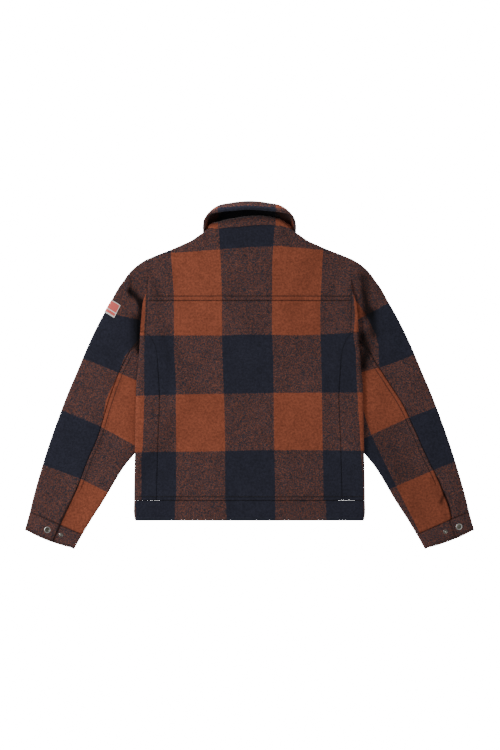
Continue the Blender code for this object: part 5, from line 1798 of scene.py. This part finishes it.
def shade_rings(item, middle, shades):
    """Darker metals inside given radii of a turned snap, in millimetres."""
    kinds = {"dark": METAL_DARK, "pale": METAL_PALE}
    for kind in dict.fromkeys(kind for _, kind in shades):
        item.data.materials.append(kinds[kind])
    order = ["plain"] + list(dict.fromkeys(kind for _, kind in shades))
    centre = (np.array((middle[0], middle[1])) - ORIGIN[:2]) / METRE
    for face in item.data.polygons:
        far = math.hypot(face.center[0] - centre[0], face.center[1] - centre[1]) * METRE
        for radius, kind in shades:
            if far < radius:
                face.material_index = order.index(kind)


def collar_halves(name):
    """A collar piece's stations from the left front end round the back to the right one."""
    if name == "collar_leaf":
        return [[(-a, d, z) for a, d, z in row] for row in LEAF[::-1]] + [list(row) for row in LEAF[1:]]
    whole = []
    for side in (-1, 1):
        back = []
        for row in STAND_BACK:
            seam = float(curve(NECK_SEAM, side * row[0][0]))
            back.append([(side * a, seam - up, z) for a, up, z in row])
        rest = [[(side * a, d, z) for a, d, z in row] for row in STAND]
        half = back + rest
        whole = half[::-1] if side < 0 else whole + half[1:]
    return whole


def collar_grid(name, each_along, each_across):
    """A collar piece as one grid of middle places in millimetres."""
    lines = []
    for station in collar_halves(name):
        p = np.array(station, float)
        p = np.stack([p[:, 0] * MM_PER_POINT, (BASE_POINT - p[:, 1]) * MM_PER_POINT, p[:, 2]], axis=-1)
        lines.append(spline_row(p, each_across))
    grid = np.stack(lines)
    grid = np.stack([spline_row(grid[:, k], each_along) for k in range(grid.shape[1])], axis=1)
    grid[..., 2] = np.maximum(grid[..., 2], LEAF_WALL / 2 + 0.1)
    return grid


def thicken(grid, wall):
    """Outer and inner faces beside a grid of middle places."""
    along = np.gradient(grid, axis=0)
    across = np.gradient(grid, axis=1)
    normal = np.cross(along, across)
    normal /= np.linalg.norm(normal, axis=-1)[..., None]
    return grid + normal * wall / 2, grid - normal * wall / 2


def arc_length(grid, axis):
    step = np.linalg.norm(np.diff(grid, axis=axis), axis=-1)
    zero = np.zeros_like(step[:1] if axis == 0 else step[:, :1])
    return np.cumsum(np.concatenate([zero, step], axis=axis), axis=axis)


def collar_cloth(name, outer, normal, run, deep):
    """A collar piece's outer face with its grooves, and its places in the flat cloth."""
    at_back = 1 - rise(np.abs(run), LEAF_BACK_SPAN)
    base = (BASE_POINT - COLLAR_TOP) * MM_PER_POINT
    if name == "collar_stand":
        groove = 0.2 * puckers(run)
        deep = deep + STAND_DEEP
        return outer + normal * groove[..., None], np.stack([run, base - deep], axis=-1)
    sewn = deep - LEAF_STITCH
    groove = -0.9 * bell(sewn, 1.0)
    groove = groove - 1.1 * bell(deep, 1.3) + 0.25 * puckers(run) * np.exp(-deep / 9.0)
    outer = outer + normal * groove[..., None]
    # Painted shade in the leaf's valley and its stitch groove, a painted highlight along its ridge, and
    # painted shade on its inner face at the back
    painted_highlight = rise(deep, LEAF_HIGHLIGHT_FROM) * (1 - rise(deep, LEAF_HIGHLIGHT_TO))
    hollow = at_back * (0.8 * rise(deep, LEAF_PAINTED_SHADE_SPAN) - 0.75 * painted_highlight + 0.5 * bell(sewn, 0.9))
    cloth = with_painted_shade(np.stack([run, base - deep], axis=-1), hollow, LEAF_INSIDE_PAINTED_SHADE * at_back)
    return outer, cloth


def build_collar():
    """The leaf and the stand, each as one wall beside its middle places."""
    for name, wall, across, along in (
        ("collar_leaf", LEAF_WALL, 6, 10),
        ("collar_stand", STAND_WALL, 6, 9),
    ):
        middle = collar_grid(name, along, across)
        outer, inner = thicken(middle, wall)
        run = arc_length(middle, 0)
        run = run - run[len(run) // 2]
        deep = arc_length(middle, 1)
        deep = deep[:, -1:] - deep
        if name == "collar_leaf":
            outer, inner = inner, outer
        outer, cloth = collar_cloth(name, outer, (outer - inner) / wall, run, deep)
        if name == "collar_leaf":
            line = []
            for k in np.flatnonzero(np.abs(run[:, -1]) < LEAF_STITCHED):
                line.append([np.interp(LEAF_STITCH, deep[k, ::-1], outer[k, ::-1, c]) for c in range(3)])
            stitch_line("collar_stitches", np.array(line))
        cloth_piece(name, (outer, inner, cloth), COLLAR_COLUMNS, COLLAR_ROWS, every=3)


def node_tree(name):
    material = bpy.data.materials.new(name)
    material.use_nodes = True
    tree = material.node_tree
    return material, tree, tree.nodes["Principled BSDF"]


def add_node(tree, kind, inputs=None, **settings):
    node = tree.nodes.new(kind)
    for key, value in settings.items():
        setattr(node, key, value)
    for key, value in (inputs or {}).items():
        if isinstance(value, bpy.types.NodeSocket):
            tree.links.new(value, node.inputs[key])
        else:
            node.inputs[key].default_value = value
    return node


def math_node(tree, operation, a, b=0.0, c=0.0):
    node = add_node(tree, "ShaderNodeMath", {0: a, 1: b}, operation=operation)
    if operation in ("MULTIPLY_ADD", "SMOOTH_MIN"):
        node.inputs[2].default_value = c
    return node.outputs[0]


def noise_node(tree, place, scale, detail=2.0, rough=0.5, bend=0.0):
    return add_node(
        tree, "ShaderNodeTexNoise",
        {"Vector": place, "Scale": scale, "Detail": detail, "Roughness": rough, "Distortion": bend},
    ).outputs["Fac"]


def range_node(tree, value, low, high, out_low=0.0, out_high=1.0):
    return add_node(
        tree, "ShaderNodeMapRange",
        {"Value": value, "From Min": low, "From Max": high, "To Min": out_low, "To Max": out_high},
        interpolation_type="SMOOTHSTEP",
    ).outputs["Result"]


def mix_node(tree, share, a, b):
    node = add_node(tree, "ShaderNodeMix", data_type="RGBA")
    for key, value in (("Factor", share), ("A", a), ("B", b)):
        socket = [s for s in node.inputs if s.name == key and s.enabled][0]
        if isinstance(value, bpy.types.NodeSocket):
            tree.links.new(value, socket)
        else:
            socket.default_value = value
    return [s for s in node.outputs if s.enabled][0]


def wool_material():
    """Napped wool in a large check: rust and navy squares, and a mixed one where they cross; painted shade
    and painted highlights darken and lighten its colour.
    """
    material, tree, shader = node_tree("check_wool")
    place = add_node(tree, "ShaderNodeTexCoord").outputs["Object"]
    cloth = add_node(tree, "ShaderNodeUVMap", uv_map="cloth").outputs["UV"]
    parts = add_node(tree, "ShaderNodeSeparateXYZ", {"Vector": cloth})
    ragged = noise_node(tree, place, 620.0, 2.0, 0.6)
    ragged_too = noise_node(tree, place, 540.0, 2.0, 0.6, 0.5)
    across = math_node(tree, "MULTIPLY_ADD", ragged, BORDER_RAGGED, -BORDER_RAGGED / 2)
    across = math_node(tree, "ADD", parts.outputs["X"], across)
    down = math_node(tree, "MULTIPLY_ADD", ragged_too, BORDER_RAGGED, -BORDER_RAGGED / 2)
    down = math_node(tree, "ADD", parts.outputs["Y"], down)
    stripe = []
    for value, shift in ((across, 0.0), (down, 1.0)):
        half = math_node(tree, "MULTIPLY_ADD", value, 0.5, shift * 0.5)
        part = math_node(tree, "FRACT", half)
        stripe.append(math_node(tree, "GREATER_THAN", part, 0.5))
    navy_across, navy_down = stripe
    yarn = noise_node(tree, place, YARN_SCALE, 3.0, 0.62, 0.7)
    fine = noise_node(tree, place, 900.0, 3.0, 0.6)
    broad = noise_node(tree, place, 26.0, 3.0, 0.55)
    blend = range_node(tree, yarn, 0.45, 0.58)
    rust = mix_node(tree, fine, RUST_DARK, RUST_LIGHT)
    navy = mix_node(tree, fine, NAVY_DARK, NAVY_LIGHT)
    mixed = mix_node(tree, blend, YARN_NAVY, YARN_RUST)
    both = math_node(tree, "MULTIPLY", navy_across, navy_down)
    either = math_node(tree, "MAXIMUM", navy_across, navy_down)
    colour = mix_node(tree, either, rust, mixed)
    colour = mix_node(tree, both, colour, navy)
    patchy = noise_node(tree, place, MOTTLE_SCALE, 3.0, 0.6)
    shade = range_node(tree, broad, 0.3, 0.7, 0.93, 1.06)
    shade = math_node(tree, "MULTIPLY", shade, range_node(tree, patchy, 0.28, 0.72, MOTTLE_LOW, MOTTLE_HIGH))
    # Painted shade from the second map darkens the colour, and below 0 it is a painted highlight
    hollow = add_node(tree, "ShaderNodeUVMap", uv_map="hollow").outputs["UV"]
    hollow = add_node(tree, "ShaderNodeSeparateXYZ", {"Vector": hollow}).outputs["X"]
    shade = math_node(tree, "MULTIPLY", shade, math_node(tree, "SUBTRACT", 1.0, hollow))
    lift = add_node(tree, "ShaderNodeVectorMath", operation="SCALE")
    tree.links.new(colour, lift.inputs[0])
    tree.links.new(shade, lift.inputs["Scale"])
    tree.links.new(lift.outputs[0], shader.inputs["Base Color"])
    nap = noise_node(tree, place, 1500.0, 4.0, 0.65)
    tuft = noise_node(tree, place, 420.0, 3.0, 0.6, 0.4)
    height = math_node(tree, "ADD", math_node(tree, "MULTIPLY", nap, 0.45), tuft)
    bump = add_node(tree, "ShaderNodeBump", {"Strength": 0.55, "Distance": 0.0011, "Height": height})
    tree.links.new(bump.outputs["Normal"], shader.inputs["Normal"])
    shader.inputs["Roughness"].default_value = 0.92
    shader.inputs["Specular IOR Level"].default_value = 0.15
    shader.inputs["Sheen Weight"].default_value = 0.12
    shader.inputs["Sheen Roughness"].default_value = 0.5
    shader.inputs["Sheen Tint"].default_value = (0.62, 0.58, 0.62, 1.0)
    return material


def thread_material():
    material, tree, shader = node_tree("thread")
    place = add_node(tree, "ShaderNodeTexCoord").outputs["Object"]
    twist = noise_node(tree, place, 2400.0, 2.0, 0.5)
    tree.links.new(mix_node(tree, twist, THREAD_DARK, THREAD_LIGHT), shader.inputs["Base Color"])
    bump = add_node(tree, "ShaderNodeBump", {"Strength": 0.4, "Distance": 0.0002, "Height": twist})
    tree.links.new(bump.outputs["Normal"], shader.inputs["Normal"])
    shader.inputs["Roughness"].default_value = 0.6
    return material


def metal_material(name, dark, pale):
    material, tree, shader = node_tree(name)
    place = add_node(tree, "ShaderNodeTexCoord").outputs["Object"]
    worn = noise_node(tree, place, 700.0, 4.0, 0.6)
    tree.links.new(mix_node(tree, worn, dark, pale), shader.inputs["Base Color"])
    tree.links.new(range_node(tree, worn, 0.3, 0.7, 0.24, 0.40), shader.inputs["Roughness"])
    shader.inputs["Metallic"].default_value = 1.0
    bump = add_node(tree, "ShaderNodeBump", {"Strength": 0.25, "Distance": 0.0001, "Height": worn})
    tree.links.new(bump.outputs["Normal"], shader.inputs["Normal"])
    return material


def patch_material():
    """Woven patch: a coral field, a pale border and one pale bar."""
    material, tree, shader = node_tree("patch_cloth")
    place = add_node(tree, "ShaderNodeTexCoord").outputs["Object"]
    cloth = add_node(tree, "ShaderNodeUVMap", uv_map="cloth").outputs["UV"]
    parts = add_node(tree, "ShaderNodeSeparateXYZ", {"Vector": cloth})
    along, deep = parts.outputs["X"], parts.outputs["Y"]
    edges = (
        math_node(tree, "LESS_THAN", along, PATCH_BORDER),
        math_node(tree, "GREATER_THAN", along, PATCH_LONG - PATCH_BORDER),
        math_node(tree, "LESS_THAN", deep, PATCH_BORDER),
    )
    off_bar = math_node(tree, "ABSOLUTE", math_node(tree, "SUBTRACT", along, PATCH_BAR))
    bar = math_node(tree, "LESS_THAN", off_bar, PATCH_BAR_HALF)
    ends = math_node(tree, "MAXIMUM", edges[0], edges[1])
    pale = math_node(tree, "MAXIMUM", ends, math_node(tree, "MAXIMUM", edges[2], bar))
    weave = noise_node(tree, place, 1400.0, 2.0, 0.5)
    coral = mix_node(tree, weave, (0.62, 0.085, 0.075, 1.0), (0.78, 0.15, 0.13, 1.0))
    white = mix_node(tree, weave, (0.68, 0.64, 0.60, 1.0), (0.86, 0.83, 0.80, 1.0))
    tree.links.new(mix_node(tree, pale, coral, white), shader.inputs["Base Color"])
    wave = {"Vector": cloth, "Scale": 420.0, "Distortion": 0.4}
    ribs = add_node(tree, "ShaderNodeTexWave", wave, bands_direction="X")
    raised = {"Strength": 0.3, "Distance": 0.0003, "Height": ribs.outputs["Fac"]}
    bump = add_node(tree, "ShaderNodeBump", raised)
    tree.links.new(bump.outputs["Normal"], shader.inputs["Normal"])
    shader.inputs["Roughness"].default_value = 0.75
    return material


def floor_and_light():
    """A white floor, an even white surround and two soft lamps."""
    mesh = bpy.data.meshes.new("floor")
    size = FLOOR_HALF
    corners = [(-size, -size, 0), (size, -size, 0), (size, size, 0), (-size, size, 0)]
    mesh.from_pydata(corners, [], [(0, 1, 2, 3)])
    floor = bpy.data.objects.new("floor", mesh)
    floor.location.z = -0.0004
    material, tree, shader = node_tree("floor_white")
    shader.inputs["Base Color"].default_value = (0.93, 0.93, 0.93, 1.0)
    shader.inputs["Roughness"].default_value = 0.9
    shader.inputs["Specular IOR Level"].default_value = 0.1
    shader.inputs["Emission Color"].default_value = (1.0, 1.0, 1.0, 1.0)
    seen = add_node(tree, "ShaderNodeLightPath").outputs["Is Camera Ray"]
    glow = range_node(tree, seen, 0.0, 1.0, FLOOR_GLOW, FLOOR_WHITE)
    tree.links.new(glow, shader.inputs["Emission Strength"])
    mesh.materials.append(material)
    bpy.context.scene.collection.objects.link(floor)
    world = bpy.data.worlds.new("soft_white")
    world.use_nodes = True
    back = world.node_tree.nodes["Background"]
    back.inputs["Color"].default_value = (1.0, 1.0, 1.0, 1.0)
    back.inputs["Strength"].default_value = WORLD_LIGHT
    bpy.context.scene.world = world
    for name, place, size, power in LAMPS:
        lamp = bpy.data.lights.new(name, "AREA")
        lamp.shape = "DISK"
        lamp.size = size
        lamp.energy = power
        item = bpy.data.objects.new(name, lamp)
        item.location = place
        way = np.array(place, float)
        way /= np.linalg.norm(way)
        item.rotation_euler = (math.acos(way[2]), 0.0, math.atan2(way[0], -way[1]))
        bpy.context.scene.collection.objects.link(item)


def add_camera():
    """A long lens high above, so that the jacket is seen straight down."""
    data = bpy.data.cameras.new("camera")
    data.sensor_width = 36.0
    data.lens = data.sensor_width * CAMERA_HIGH / PHOTO_TALL
    camera = bpy.data.objects.new("camera", data)
    camera.location = (CAMERA_AIM[0], CAMERA_AIM[1], CAMERA_HIGH)
    bpy.context.scene.collection.objects.link(camera)
    bpy.context.scene.camera = camera


WOOL = wool_material()
THREAD = thread_material()
METAL = metal_material("snap_metal", (0.36, 0.35, 0.33, 1.0), (0.50, 0.49, 0.47, 1.0))
METAL_DARK = metal_material("snap_metal_dark", (0.085, 0.080, 0.062, 1.0), (0.15, 0.14, 0.115, 1.0))
METAL_PALE = metal_material("snap_metal_pale", (0.34, 0.33, 0.31, 1.0), (0.46, 0.45, 0.43, 1.0))
PATCH = patch_material()


def main():
    add_camera()
    build_back()
    build_sides()
    build_fronts()
    build_hem()
    build_sleeves()
    build_front_caps()
    build_collar()
    floor_and_light()


main()
